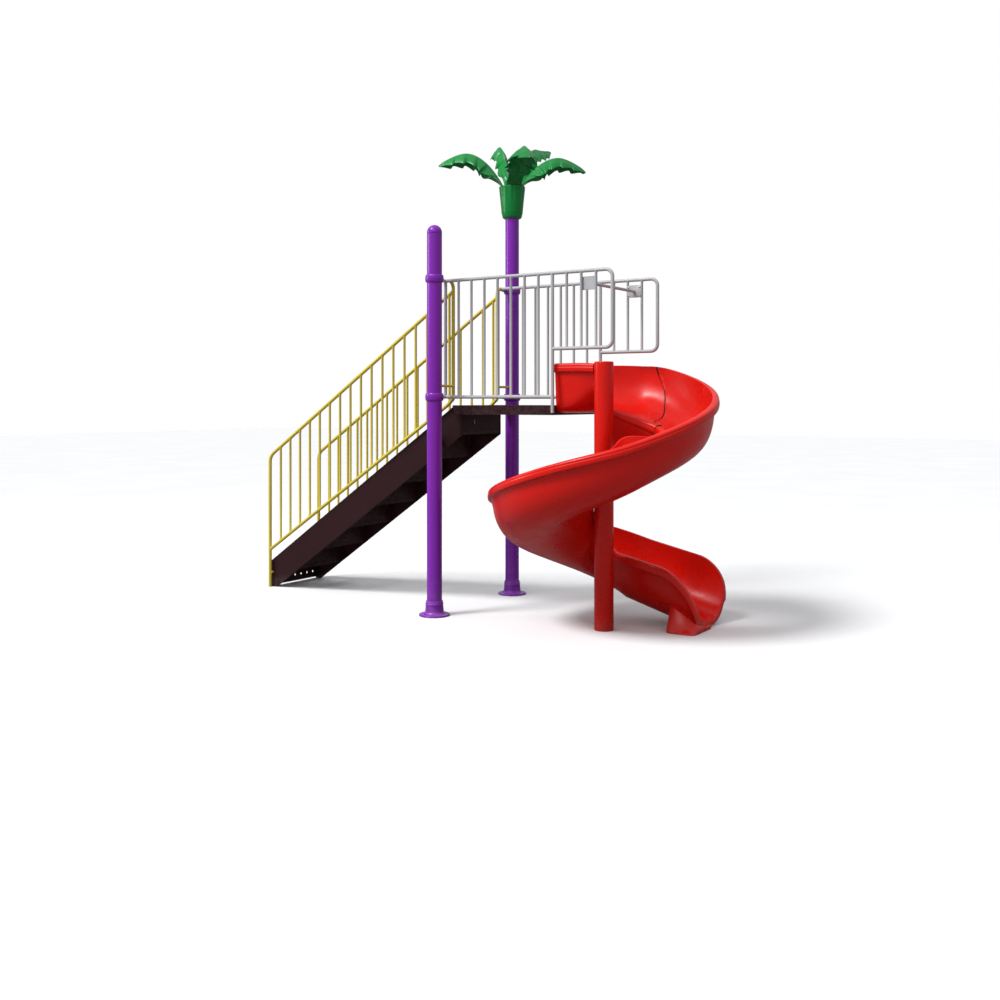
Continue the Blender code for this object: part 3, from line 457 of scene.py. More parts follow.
def add_variation(made, colour, shade, amount=1.0, scale=3.0):
    """Soft cloudy changes between the colour and its shade."""
    return made.mix(made.clouds(scale, 4.0, 0.0, amount), colour, shade)


def add_dust(made, colour, top, amount):
    """Dust that fades out from the ground up, broken up by noise."""
    near_ground = made.ranged(made.height(), 0.0, top, amount, 0.0)
    patches = made.clouds(22.0, 6.0, low=0.38, high=0.62)
    return made.mix(made.product(near_ground, patches), colour, DUST)


def finish_material(made, colour, roughness, spread, normal):
    """Joins a finish's sockets to its shader; roughness varies a little by its spread."""
    rough = made.clouds(9.0, 5.0, roughness - spread, roughness + spread)
    for source, target in ((colour, "Base Color"), (rough, "Roughness"), (normal, "Normal")):
        made.link(source, made.shader.inputs[target])
    return made.owner


def paint(name, colour, shade, roughness, dust):
    """Powder coat: fine orange peel under a thin clear gloss."""
    made = material_nodes(name)
    made.set_shader(Specular_IOR_Level=0.30, Coat_Weight=0.10, Coat_Roughness=0.15)
    tone = add_dust(made, add_variation(made, colour, shade, 0.35), PAINT_DUST_TOP, dust)
    return finish_material(made, tone, roughness, 0.05, made.bumps(PAINT_BUMPS))


def plastic(name, colour, shade, scuffed=False):
    """Moulded polyethylene: faint pebbles, a soft gloss and, where it is used, fine scuffs."""
    made = material_nodes(name)
    made.set_shader(Specular_IOR_Level=0.28)
    tone = add_variation(made, colour, shade, 0.6, 2.2)
    if scuffed:
        scuffs = made.ranged(made.noise(46.0, 8.0, (1.0, 1.0, 5.0)), 0.62, 0.74, 0.0, 0.05)
        tone = made.mix(scuffs, tone, PALE_SCUFF)
    tone = add_dust(made, tone, DUST_TOP, 0.12)
    return finish_material(made, tone, 0.30, 0.06, made.bumps(PLASTIC_BUMPS))


def dipped_coating(name, colour, shade, worn):
    """Thick matt dip coating: grainy, with paler worn edges."""
    made = material_nodes(name)
    made.set_shader(Specular_IOR_Level=0.14)
    edges = made.add("ShaderNodeNewGeometry").outputs["Pointiness"]
    worn_through = made.product(
        made.ranged(edges, 0.55, 0.66, 0.0, 0.30), made.clouds(34.0, 6.0, low=0.42, high=0.60))
    tone = made.mix(worn_through, add_variation(made, colour, shade, 0.6), worn)
    tone = add_dust(made, tone, DUST_TOP, 0.10)
    return finish_material(made, tone, 0.50, 0.05, made.bumps(COATING_BUMPS))


def bare_metal(name):
    """Galvanised steel of the fasteners."""
    made = material_nodes(name)
    made.set_shader(Metallic=0.9)
    spangle = made.clouds(300.0, 4.0)
    tone = made.mix(spangle, (0.36, 0.36, 0.37), (0.52, 0.52, 0.52))
    return finish_material(made, tone, 0.38, 0.08, made.bump(spangle, 0.06, 0.0003))


def floor_finish():
    """Almost white to the camera, and darker in what it throws back on the object."""
    made = material_nodes("pale_floor")
    tone = add_variation(made, (0.86, 0.86, 0.87), (0.83, 0.83, 0.84), 1.0, 0.8)
    seen = made.add("ShaderNodeLightPath").outputs["Is Camera Ray"]
    tone = made.mix(seen, FLOOR_THROWN_BACK, tone)
    return finish_material(made, tone, 0.75, 0.05, made.bumps(FLOOR_BUMPS))


PURPLE = paint("purple_finish", (0.210, 0.018, 0.40), (0.180, 0.014, 0.34), 0.30, 0.15)
YELLOW = paint("yellow_finish", (0.62, 0.49, 0.055), (0.55, 0.42, 0.045), 0.32, 0.15)
GREY = paint("grey_finish", (0.43, 0.435, 0.45), (0.37, 0.375, 0.39), 0.30, 0.10)
BROWN = dipped_coating("brown_finish", (0.028, 0.008, 0.010), (0.020, 0.006, 0.007), (0.08, 0.05, 0.05))
RED = plastic("red_finish", (0.68, 0.007, 0.002), (0.58, 0.005, 0.001), True)
GREEN = plastic("green_finish", (0.002, 0.23, 0.040), (0.001, 0.14, 0.024))
STEEL = bare_metal("steel_finish")
RUBBER = dipped_coating(
    "seal_rubber_finish", (0.010, 0.004, 0.004), (0.007, 0.003, 0.003), (0.02, 0.01, 0.01))


class Shape:
    """Points and faces that are gathered into one mesh piece."""

    def __init__(self):
        self.points = []
        self.faces = []

    def row(self, places):
        first = len(self.points)
        self.points.extend(tuple(place) for place in places)
        return range(first, len(self.points))

    def bridge(self, row, following):
        """Faces between two closed rows of equal length, one of which may be a single point."""
        count = max(len(row), len(following))
        for i in range(count):
            j = (i + 1) % count
            corners = ((row, i), (row, j), (following, j), (following, i))
            self.faces.append(tuple(dict.fromkeys(line[at % len(line)] for line, at in corners)))

    def loft(self, loops, cap=True):
        rows = [self.row(loop) for loop in loops]
        for row, following in zip(rows, rows[1:]):
            self.bridge(row, following)
        if cap:
            self.faces += [tuple(rows[0][::-1]), tuple(rows[-1])]
        return rows

    def box(self, low, high):
        plan = [(low[0], low[1]), (high[0], low[1]), (high[0], high[1]), (low[0], high[1])]
        self.loft([[(x, y, z) for x, y in plan] for z in (low[2], high[2])])

    def piece(self, name, material, nodes=(), sharp=38.0, bevel=0.0):
        """Makes the mesh object, which rides on the part's one body."""
        mesh = bpy.data.meshes.new(name)
        mesh.from_pydata(self.points, [], self.faces)
        work = bmesh.new()
        work.from_mesh(mesh)
        bmesh.ops.recalc_face_normals(work, faces=work.faces)
        work.to_mesh(mesh)
        work.free()
        made = bpy.data.objects.new(name, mesh)
        bpy.context.scene.collection.objects.link(made)
        if bevel:
            round_edges(made, bevel)
        mesh.materials.append(material)
        mesh.shade_smooth()
        mesh.set_sharp_from_angle(angle=math.radians(sharp))
        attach(made, "root")
        if nodes:
            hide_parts(*nodes)
        return made


def round_edges(made, width):
    add_modifier(made, "rounded_edges", "BEVEL", width=width, segments=3, limit_method="ANGLE",
                 angle_limit=math.radians(35), harden_normals=True)


def add_modifier(made, name, kind, **values):
    modifier = made.modifiers.new(name, kind)
    for key, value in values.items():
        setattr(modifier, key, value)


def circle(centre, first, second, radius, sides, start=0.0):
    """A ring of points round a centre, in the plane of two unit vectors."""
    turns = [start + math.tau * i / sides for i in range(sides)]
    return [centre + (first * math.cos(turn) + second * math.sin(turn)) * radius for turn in turns]


def turned(shape, profile, centre, sides=128, wobble=None):
    """A turned body: its profile of (radius, height) runs from the top to the bottom."""
    rows = []
    for radius, height in profile:
        ring = []
        for i in range(sides if radius else 1):
            turn = math.tau * i / sides
            grown = radius + (wobble(turn, height) if wobble and radius else 0.0)
            ring.append((centre[0] + grown * math.cos(turn), centre[1] + grown * math.sin(turn), height))
        rows.append(shape.row(ring))
    for row, following in zip(rows, rows[1:]):
        shape.bridge(row, following)


def arc_profile(centre, radius, start, end, steps):
    """Profile points on an arc, given in degrees from the outward direction."""
    points = []
    for i in range(steps + 1):
        turn = math.radians(between(start, end, i / steps))
        points.append((centre[0] + radius * math.cos(turn), centre[1] + radius * math.sin(turn)))
    return points


def filleted(corners, radius, steps=10):
    """The points of a path whose inner corners are rounded to a radius."""
    corners = [Vector(corner) for corner in corners]
    points = [corners[0]]
    for before, corner, after in zip(corners, corners[1:], corners[2:]):
        back = (before - corner).normalized()
        ahead = (after - corner).normalized()
        half = back.angle(ahead) / 2
        centre = corner + (back + ahead).normalized() * radius / math.sin(half)
        start = corner + back * radius / math.tan(half) - centre
        end = corner + ahead * radius / math.tan(half) - centre
        sweep = start.angle(end)
        for i in range(steps + 1):
            part = i / steps
            lead = math.sin((1 - part) * sweep) / math.sin(sweep)
            lag = math.sin(part * sweep) / math.sin(sweep)
            points.append(centre + start * lead + end * lag)
    points.append(corners[-1])
    return points


def cross_axes(along):
    """Two unit vectors square to a direction and to each other."""
    side = along.cross(UP if abs(along.z) < 0.9 else X_AXIS).normalized()
    return side, along.cross(side)


def tube(shape, path, radius, sides=RAIL_SIDES):
    """A round tube along a path, with slightly rounded ends."""
    path = [Vector(point) for point in path]
    side = cross_axes((path[1] - path[0]).normalized())[0]
    loops = []
    for before, place, after in zip(path[:1] + path, path, path[1:] + path[-1:]):
        along = (after - before).normalized()
        side = (side - along * side.dot(along)).normalized()
        loops.append(circle(place, side, along.cross(side), radius, sides))
    for end, inner in ((0, 1), (-1, -2)):
        inward = (path[inner] - path[end]).normalized() * radius * TUBE_CHAMFER
        small = [path[end].lerp(point, 1 - TUBE_CHAMFER) for point in loops[end]]
        loops[end] = [point + inward for point in loops[end]]
        loops.insert(len(loops) if end else 0, small)
    shape.loft(loops)


def welded_bar(shape, x, y, bottom, top, rail_radius):
    """An upright bar between two rails, with a small weld fillet where it meets each."""
    steps = [(rail_radius * out + WELD_SIZE * more, WELD_SIZE * grown) for out, more, grown in WELD_PROFILE]
    places = [(bottom + at, grown) for at, grown in steps]
    places += [(top - at, grown) for at, grown in steps[::-1]]
    shape.loft([
        circle(Vector((x, y, z)), -X_AXIS, -Y_AXIS, BAR_RADIUS + grown, BAR_SIDES) for z, grown in places
    ])


def bolt(shape, place, direction, radius, height):
    """A button-head bolt on a washer, with a round socket."""
    along = Vector(direction).normalized()
    side, across = cross_axes(along)
    rings = [(radius * share, out) for share, out in BOLT_FOOT]
    shoulder = rings[-1][1]
    for i in range(1, 5):
        turn = math.radians(18 * i)
        rings.append((radius * math.cos(turn) * 0.999, shoulder + height * math.sin(turn) * 0.8))
    top = rings[-1][1]
    rings += [(radius * SOCKET_SHARE, top + 0.0001), (radius * (SOCKET_SHARE - 0.02), top - height * 0.5)]
    shape.loft([circle(Vector(place) + along * out, side, across, ring, BOLT_SIDES) for ring, out in rings])


def cover_profile():
    """The profile of a post's flange and of the moulded cover on it."""
    groove = COVER_TOP - COVER_GROOVE_DROP
    flare = (COVER_FOOT_RADIUS + COVER_FLARE, FLANGE_THICKNESS + COVER_FLARE)
    edge = (FLANGE_RADIUS - FLANGE_EDGE, FLANGE_THICKNESS - FLANGE_EDGE)
    return [
        (POST_RADIUS, FLANGE_THICKNESS),
        (POST_RADIUS, COVER_TOP - 0.002),
        *[(COVER_TOP_RADIUS + out, COVER_TOP - down) for out, down in COVER_LIP],
        *arc_profile((COVER_TOP_RADIUS + 0.0015, groove), 0.0030, 90, -90, 6),
        (COVER_TOP_RADIUS + 0.0012, groove - 0.005),
        *arc_profile(flare, COVER_FLARE, 180, 270, 10),
        *arc_profile(edge, FLANGE_EDGE, 90, 0, 5),
        (FLANGE_RADIUS, 0.0),
        (POST_RADIUS, 0.0),
        (POST_RADIUS, FLANGE_THICKNESS),
    ]


def build_posts():
    for name, y, top in (("front_post", 0.0, FRONT_POST_TOP), ("rear_post", REAR_POST_Y, REAR_POST_TOP)):
        post = Shape()
        profile = [(0.0, top), (POST_RADIUS, top), (POST_RADIUS, FLANGE_THICKNESS), (0.0, FLANGE_THICKNESS)]
        turned(post, profile, (0.0, y))
        post.piece(f"{name}_tube", PURPLE, [name])
        base = Shape()
        turned(base, cover_profile(), (0.0, y))
        base.piece(f"{name}_foot_cover", PURPLE, [f"{name}_base"], 50)
    dome = [(0.0, FRONT_POST_TOP + DOME_HEIGHT)]
    for i in range(1, DOME_STEPS + 1):
        turn = math.radians(90 * i / DOME_STEPS)
        height = DOME_EDGE + (DOME_HEIGHT - DOME_EDGE) * math.cos(turn)
        dome.append((POST_RADIUS * math.sin(turn), FRONT_POST_TOP + height))
    for radius, height in ((POST_RADIUS, 0.0018), (POST_RADIUS - 0.0012, DOME_GAP), (0.0, DOME_GAP)):
        dome.append((radius, FRONT_POST_TOP + height))
    cap = Shape()
    turned(cap, dome, (0.0, 0.0))
    cap.piece("front_post_dome", PURPLE, ["front_post_cap"], 50)


def build_post_plugs():
    """Small moulded plugs in the spare holes on the inner side of both posts."""
    plugs = Shape()
    for y, side in ((0.0, 1), (REAR_POST_Y, -1)):
        outward = Vector((PLUG_DIRECTION[0], side * PLUG_DIRECTION[1], 0.0))
        for height in PLUG_HEIGHTS:
            place = Vector((0.0, y, height)) + outward * (POST_RADIUS - 0.0015)
            bolt(plugs, place, outward, *PLUG_SIZE)
    plugs.piece("post_plugs", PURPLE, sharp=45)


def build_clamps():
    half = CLAMP_HEIGHT / 2
    profile = [(POST_RADIUS, half)]
    for i in range(1, CLAMP_STEPS):
        turn = math.pi * i / CLAMP_STEPS
        radius = POST_RADIUS + (CLAMP_RADIUS - POST_RADIUS) * math.sin(turn) ** CLAMP_FULLNESS
        profile.append((radius, half * math.cos(turn)))
    profile += [(POST_RADIUS, -half), (POST_RADIUS, half)]
    for post, y, side in (("front", 0.0, 1), ("rear", REAR_POST_Y, -1)):
        near, far = sorted((y + side * (CLAMP_RADIUS - 0.010), y + side * CLAMP_EAR_REACH))
        for place, middle in (("upper", BARRIER_TOP), ("lower", BARRIER_BOTTOM)):
            name = f"{post}_{place}_clamp"
            ring = Shape()
            turned(ring, [(radius, middle + height) for radius, height in profile], (0.0, y), 96)
            ring.piece(f"{name}_ring", PURPLE, [name], 50)
            ear = Shape()
            for start, end in CLAMP_EARS:
                ear.box((CLAMP_EAR_X + start, near, middle - CLAMP_EAR_HALF_HEIGHT),
                        (CLAMP_EAR_X + end, far, middle + CLAMP_EAR_HALF_HEIGHT))
            ear.piece(f"{name}_ears", PURPLE, bevel=0.0025)
            for direction in (1, -1):
                spot = (CLAMP_EAR_X + direction * 0.012, y + side * (CLAMP_RADIUS + 0.011), middle)
                bolt(bolts, spot, (direction, 0, 0), *CLAMP_BOLT)


def build_barriers():
    long_bar_x = BARRIER_FIRST_BAR_X + BARRIER_PITCH * BARRIER_SHORT_BARS
    frame_corners = [
        (long_bar_x, BARRIER_BOTTOM),
        (BARRIER_START_X, BARRIER_BOTTOM),
        (BARRIER_START_X, BARRIER_TOP),
        (BARRIER_SPLIT_X, BARRIER_TOP),
    ]
    wing_corners = [
        (BARRIER_SPLIT_X, BARRIER_TOP),
        (BARRIER_END_X, BARRIER_TOP),
        (BARRIER_END_X, BARRIER_WING_BOTTOM),
        (long_bar_x, BARRIER_WING_BOTTOM),
    ]
    for name, (y, post_y) in BARRIER_PLANES.items():
        panel = Shape()
        frame_path = filleted([(x, y, z) for x, z in frame_corners], BARRIER_SMALL_CORNER, 6)
        wing_path = filleted([(x, y, z) for x, z in wing_corners], BARRIER_CORNER, 12)
        tube(panel, frame_path[:-1] + wing_path[1:], RAIL_RADIUS)
        for i in range(BARRIER_SHORT_BARS):
            x = BARRIER_FIRST_BAR_X + BARRIER_PITCH * i
            welded_bar(panel, x, y, BARRIER_BOTTOM, BARRIER_TOP, RAIL_RADIUS)
        for i in range(1, BARRIER_WING_BARS + 1):
            x = long_bar_x + BARRIER_PITCH * i
            welded_bar(panel, x, y, BARRIER_WING_BOTTOM, BARRIER_TOP, RAIL_RADIUS)
        long_bar = [(long_bar_x, y, z) for z in (BARRIER_LONG_BAR_FOOT, BARRIER_TOP)]
        tube(panel, long_bar, RAIL_RADIUS - TUCK)
        side = 1 if post_y < y else -1
        for height in (BARRIER_TOP, BARRIER_BOTTOM):
            lug = [(BARRIER_START_X, end, height) for end in (y, post_y + side * (CLAMP_EAR_REACH - 0.004))]
            tube(panel, lug, RAIL_RADIUS - TUCK, 24)
        panel.piece(f"{name}_panel", GREY, [name], 40)


def build_safety_bar():
    wide, thick, tall = SAFETY_PLATE
    low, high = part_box("safety_bar")
    bar = Shape()
    ends = [(SAFETY_BAR_X, y, SAFETY_BAR_Z) for y in (low.y + 0.002, high.y - 0.002)]
    tube(bar, ends, SAFETY_BAR_RADIUS)
    corners = [(0.0, 1), (-1, 1), (-1, -1), (1, -1), (1, 1), (0.0, 1)]
    plan = filleted([(x * wide / 2, 0.0, z * tall / 2) for x, z in corners], SAFETY_PLATE_CORNER, 6)[:-1]
    edge, smaller = SAFETY_PLATE_EDGE
    for y, towards in ((low.y, 1), (high.y, -1)):
        centre = Vector((SAFETY_BAR_X, y, SAFETY_BAR_Z))
        loops = []
        for out, share in ((0.0, smaller), (edge, 1.0), (thick - edge, 1.0), (thick, smaller)):
            loops.append([centre + point * share + Y_AXIS * towards * out for point in plan])
        bar.loft(loops)
        for x in (-SAFETY_BOLT_PLACE[0], SAFETY_BOLT_PLACE[0]):
            for z in (-SAFETY_BOLT_PLACE[1], SAFETY_BOLT_PLACE[1]):
                bolt(bolts, centre + Vector((x, towards * thick, z)), Y_AXIS * towards, *SAFETY_BOLT)
    bar.piece("safety_bar_with_plates", GREY, ["safety_bar"], 40)


def upper_rail(x):
    return HANDRAIL_TOP_START + HANDRAIL_SLOPE * (x - HANDRAIL_FOOT_X)


def lower_rail(x):
    return HANDRAIL_LOW_START + HANDRAIL_LOW_SLOPE * (x - HANDRAIL_FOOT_X)


def build_handrails():
    bend_x = HANDRAIL_END_X - HANDRAIL_LOW_SETBACK
    bars = [HANDRAIL_FIRST_BAR_X]
    bars += [HANDRAIL_SECOND_BAR_X - HANDRAIL_PITCH * i for i in range(HANDRAIL_BARS)]
    for name, (y, barrier_y, post_y) in HANDRAIL_PLANES.items():
        out = -1 if post_y < y else 1
        rail = Shape()
        upper = filleted([
            (HANDRAIL_FOOT_X, y, 0.0),
            (HANDRAIL_FOOT_X, y, HANDRAIL_TOP_START),
            (HANDRAIL_END_X, y, upper_rail(HANDRAIL_END_X)),
        ], HANDRAIL_TOP_BEND, 12)
        tube(rail, upper, HANDRAIL_RADIUS)
        lower = filleted([
            (HANDRAIL_FOOT_X, y, HANDRAIL_LOW_START),
            (bend_x, y, lower_rail(bend_x)),
            (HANDRAIL_END_X, y, HANDRAIL_END_FOOT),
            (HANDRAIL_END_X, y, HANDRAIL_END_TOP - HANDRAIL_BEND),
        ], HANDRAIL_LOW_BEND, 8)[:-1]
        depth = abs(y - (barrier_y - out * RAIL_RADIUS))
        for i in range(HANDRAIL_BEND_STEPS + 1):
            turn = math.radians(90 * i / HANDRAIL_BEND_STEPS)
            height = HANDRAIL_END_TOP - HANDRAIL_BEND * (1 - math.sin(turn))
            lower.append(Vector((HANDRAIL_END_X, y + out * depth * (1 - math.cos(turn)), height)))
        tube(rail, lower, HANDRAIL_RADIUS - TUCK)
        for x in bars:
            welded_bar(rail, x, y, lower_rail(x), upper_rail(x), HANDRAIL_RADIUS * 1.1)
        stub_end = STRINGER_OUTER[0 if out < 0 else 1]
        lug_end = post_y - out * (POST_RADIUS - 0.001)
        for x, z, end in ((*HANDRAIL_STUB, stub_end), (HANDRAIL_END_X, HANDRAIL_LUG_Z, lug_end)):
            tube(rail, [(x, y, z), (x, end, z)], BAR_RADIUS, 18)
        rail.piece(f"{name}_rails", YELLOW, [name], 40)


def inset(low, high, border):
    """The corners of a plan, moved inwards by a border."""
    return (low[0] + border, low[1] + border), (high[0] - border, high[1] - border)


def framed_sheet(shape, low, high, area, top, thickness, pitch=HOLE_PITCH, radius=HOLE_RADIUS):
    """A flat sheet with rows of round holes in an area of it, and plain round them."""
    half, quarter, bottom = pitch / 2, HOLE_SIDES // 4, top - thickness
    grid = []
    for start, end in zip(*area):
        count = int((end - start) / pitch)
        margin = (end - start - count * pitch) / 2
        grid.append([start + margin + pitch * i for i in range(count + 1)])
    xs, ys = grid
    corners = [(X_AXIS * x + Y_AXIS * y) * half for x, y in SQUARE]
    square = [corners[c].lerp(corners[(c + 1) % 4], i / quarter) for c in range(4) for i in range(quarter)]
    for x in xs[:-1]:
        for y in ys[:-1]:
            loops = []
            for height, size in ((top, None), (top, radius + HOLE_CHAMFER), (top - HOLE_CHAMFER, radius),
                                 (bottom, radius), (bottom, None)):
                centre = Vector((x + half, y + half, height))
                if size:
                    loops.append(circle(centre, X_AXIS, Y_AXIS, size, HOLE_SIDES, math.pi / 4))
                else:
                    loops.append([centre + corner for corner in square])
            shape.loft(loops, False)
    for x0, y0, x1, y1 in ((low[0], low[1], xs[0], high[1]), (xs[-1], low[1], high[0], high[1]),
                           (xs[0], low[1], xs[-1], ys[0]), (xs[0], ys[-1], xs[-1], high[1])):
        shape.box((x0, y0, bottom), (x1, y1, top))


def build_deck():
    low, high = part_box("deck")
    deck = Shape()
    framed_sheet(deck, low, high, inset(low, high, DECK_BORDER), high.z, DECK_SKIN)
    inner_low, inner_high = inset(low, high, DECK_SKIN)
    walls = [
        (low.x, low.y, high.x, inner_low[1]),
        (low.x, inner_high[1], high.x, high.y),
        (low.x, low.y, inner_low[0], high.y),
        (inner_high[0], low.y, high.x, high.y),
    ]
    for i in (1, 2):
        x = between(low.x, high.x, i / 3)
        walls.append((x - DECK_SKIN / 2, inner_low[1], x + DECK_SKIN / 2, inner_high[1]))
    for x0, y0, x1, y1 in walls:
        deck.box((x0, y0, low.z), (x1, y1, high.z - DECK_SKIN + TUCK))
    deck.piece("deck_tray", BROWN, ["deck"], 40)


def build_steps():
    """Folded treads; the first has the lowest riser too, with one row of holes across it."""
    near, far = STRINGER_INNER
    skin = STEP_SKIN
    for number in range(1, STEP_COUNT + 1):
        low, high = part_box(f"step_{number}")
        top = high.z
        step = Shape()
        tread = (low.x + 0.004, near), (high.x - 0.003, far)
        framed_sheet(step, *tread, inset(*tread, STEP_BORDER), top, skin)
        riser_foot = low.z if number > 1 else top - 2 * skin
        nose = arc_profile((low.x + skin, top - skin), skin, 90, 180, 4)
        nose += [(low.x, riser_foot), (low.x + skin, riser_foot), (low.x + skin, top - skin)]
        lip = [(high.x - skin, top - 0.001), (high.x - 0.002, top), (high.x, top - 0.002)]
        lip += [(high.x, top - STEP_LIP), (high.x - skin, top - STEP_LIP)]
        for outline in (nose, lip):
            step.loft([[(x, y, z) for x, z in outline] for y in (near, far)])
        if number == 1:
            first = len(step.points)
            half = RISER_HOLE_PITCH / 2 + 0.0001
            row = (RISER_HOLE_HEIGHT - half, near), (RISER_HOLE_HEIGHT + half, far)
            framed_sheet(step, (low.z, near), (riser_foot, far), row, low.x + skin, skin,
                         RISER_HOLE_PITCH, RISER_HOLE_RADIUS)
            step.points[first:] = [(x, y, z) for z, y, x in step.points[first:]]
        step.piece(f"step_{number}_folded", BROWN, [f"step_{number}"], 40)


def dress_sheets():
    """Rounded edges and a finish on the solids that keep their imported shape."""
    for name in ("near_stringer", "far_stringer", "top_riser", "front_stair_bracket", "rear_deck_bracket"):
        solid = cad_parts[name]
        solid.data.materials.clear()
        solid.data.materials.append(BROWN)
        add_modifier(solid, "joined_corners", "WELD", merge_threshold=0.0002)
        round_edges(solid, 0.0016)
    low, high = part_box("top_riser")
    for drop in RISER_BOLT_DROPS:
        place = (high.x, (low.y + high.y) / 2 + RISER_BOLT_OFF_CENTRE, high.z - drop)
        bolt(bolts, place, (1, 0, 0), *RISER_BOLT)


def collar_wobble(turn, height):
    """Ribs of leaf stems that grow out of the collar towards its top."""
    part = smooth_step((height - COLLAR_BOTTOM - 0.06) / (COLLAR_TOP - COLLAR_BOTTOM - 0.06))
    return part * COLLAR_RIB_DEPTH * (abs(math.sin(COLLAR_RIBS * turn / 2)) - 0.75)


def build_palm_collar():
    edge = COLLAR_TOP - COLLAR_EDGE
    profile = [(0.0, COLLAR_TOP - 0.03), (COLLAR_TOP_RADIUS - 0.02, edge)]
    profile += arc_profile((COLLAR_TOP_RADIUS - COLLAR_EDGE, edge), COLLAR_EDGE, 110, 0, 6)
    for i in range(1, 13):
        radius = between(COLLAR_TOP_RADIUS, COLLAR_LOW_RADIUS + 0.004, i / 12)
        profile.append((radius, between(edge, COLLAR_BOTTOM + 0.040, i / 12)))
    profile += [(COLLAR_LOW_RADIUS - inward, COLLAR_BOTTOM + up) for inward, up in COLLAR_FOOT]
    inside = COLLAR_BOTTOM + COLLAR_SOCKET
    profile += [(POST_RADIUS, COLLAR_BOTTOM), (POST_RADIUS, inside), (0.0, inside)]
    collar = Shape()
    turned(collar, profile, (0.0, REAR_POST_Y), 168, collar_wobble)
    collar.piece("palm_collar_moulding", GREEN, ["palm_collar"], 50)


def leaf_tooth(part):
    """From 0 at a tooth's outermost point to 1 at the notch before the next."""
    along = (part * LEAF_TEETH) % 1.0
    if along < LEAF_TOOTH_SHARE:
        return smooth_step(along / LEAF_TOOTH_SHARE)
    return 1 - smooth_step((along - LEAF_TOOTH_SHARE) / (1 - LEAF_TOOTH_SHARE))


def build_palm_leaf(number, azimuth, peak, tip, widest):
    turn = math.radians(CROWN_AZIMUTH + azimuth)
    outward = Vector((math.cos(turn), math.sin(turn), 0.0))
    across = Vector((-math.sin(turn), math.cos(turn), 0.0))
    loops = []
    for i in range(LEAF_STATIONS):
        part = i / (LEAF_STATIONS - 1)
        rise = math.sin(math.pi / 2 * min(part / LEAF_PEAK_PLACE, 1.0))
        fall = max(part - LEAF_PEAK_PLACE, 0.0) / (1 - LEAF_PEAK_PLACE)
        height = between(COLLAR_TOP, peak, rise) - (peak - tip) * fall ** LEAF_TIP_CURVE
        radius = between(LEAF_ROOT_RADIUS, LEAF_REACH, part ** LEAF_REACH_POWER)
        place = Y_AXIS * REAR_POST_Y + outward * radius + UP * height
        along = min(part * LEAF_TIP_SHARE + 1 - LEAF_TIP_SHARE, 1.0)
        full = widest * math.sin(math.pi * along) ** LEAF_FULLNESS
        full = min(full, LEAF_ROOT_HALF_WIDTH + LEAF_SPREAD * (radius - LEAF_ROOT_RADIUS))
        lean = smooth_step(part / LEAF_UPRIGHT_PLACE)
        up = (UP * lean - outward * (1 - lean)).normalized()
        taper = smooth_step((1 - part) / LEAF_TAPER)
        droop = LEAF_DROOP * smooth_step(part / LEAF_DROOP_START) * full / widest
        rows = {}
        for side in (-1, 1):
            tooth = leaf_tooth(part + (LEAF_TOOTH_SHIFT if side > 0 else 0.0))
            half = max(full * (1.04 - LEAF_TOOTH_DEPTH * tooth), LEAF_TIP_HALF_WIDTH * (0.4 + 0.6 * taper))
            hang = LEAF_TOOTH_HANG * (0.5 - tooth) * smooth_step(part / 0.2) * min(full / 0.06, 1.0)
            rows[side] = (half, hang)
        top, under = [], []
        for k in range(-LEAF_ACROSS, LEAF_ACROSS + 1):
            share = k / LEAF_ACROSS
            half, hang = rows[1 if k > 0 else -1]
            size = abs(share)
            vein = LEAF_MIDRIB * math.exp(-(size / LEAF_MIDRIB_WIDTH) ** 2) * taper
            fold = LEAF_FOLD * math.cos(size * LEAF_FOLD_WAVES) * smooth_step(size / 0.3) * (1 - size)
            skin = LEAF_THICKNESS * (0.30 + 0.70 * math.sqrt(1 - size ** 2)) * (0.45 + 0.55 * taper)
            edge = skin * (1 - math.sqrt(1 - size ** 4)) * 0.3
            spot = place + across * half * share - up * (droop * size ** 1.5 + hang * size ** 3)
            top.append(spot + up * (vein + fold - edge))
            under.append(spot - up * skin)
        loops.append(top + under[::-1])
    leaf = Shape()
    leaf.loft(loops)
    leaf.piece(f"palm_leaf_{number}_blade", GREEN, [f"palm_leaf_{number}"], 70)


def wall_start(drop, depth, power):
    """Where a wall's curve starts when the wall is cut down by the drop."""
    return math.asin(min((drop / depth) ** (1 / power), 0.999))


def side_curve(middle, lip, lip_drop, depth, squareness=TROUGH_SQUARENESS):
    """Points of one side of the trough, from its lip down to just before the floor's middle."""
    power = 2 / squareness
    start = wall_start(lip_drop, depth, power)
    reach = (lip - middle) / math.cos(start) ** power
    points = []
    for i in range(SIDE_STEPS):
        turn = between(start, math.pi / 2, i / SIDE_STEPS)
        points.append((middle + reach * math.cos(turn) ** power, -depth * math.sin(turn) ** power))
    return points


def smooth_path(points, steps):
    """A smooth curve through the points, without its first one."""
    ends = [points[0], *points, points[-1]]
    path = []
    for corners in zip(ends, ends[1:], ends[2:], ends[3:]):
        for i in range(1, steps + 1):
            t = i / steps
            path.append(tuple(
                0.5 * (2 * q + (r - p) * t + (2 * p - 5 * q + 4 * r - s) * t * t
                       + (3 * q - p - 3 * r + s) * t ** 3)
                for p, q, r, s in zip(*corners)
            ))
    return path


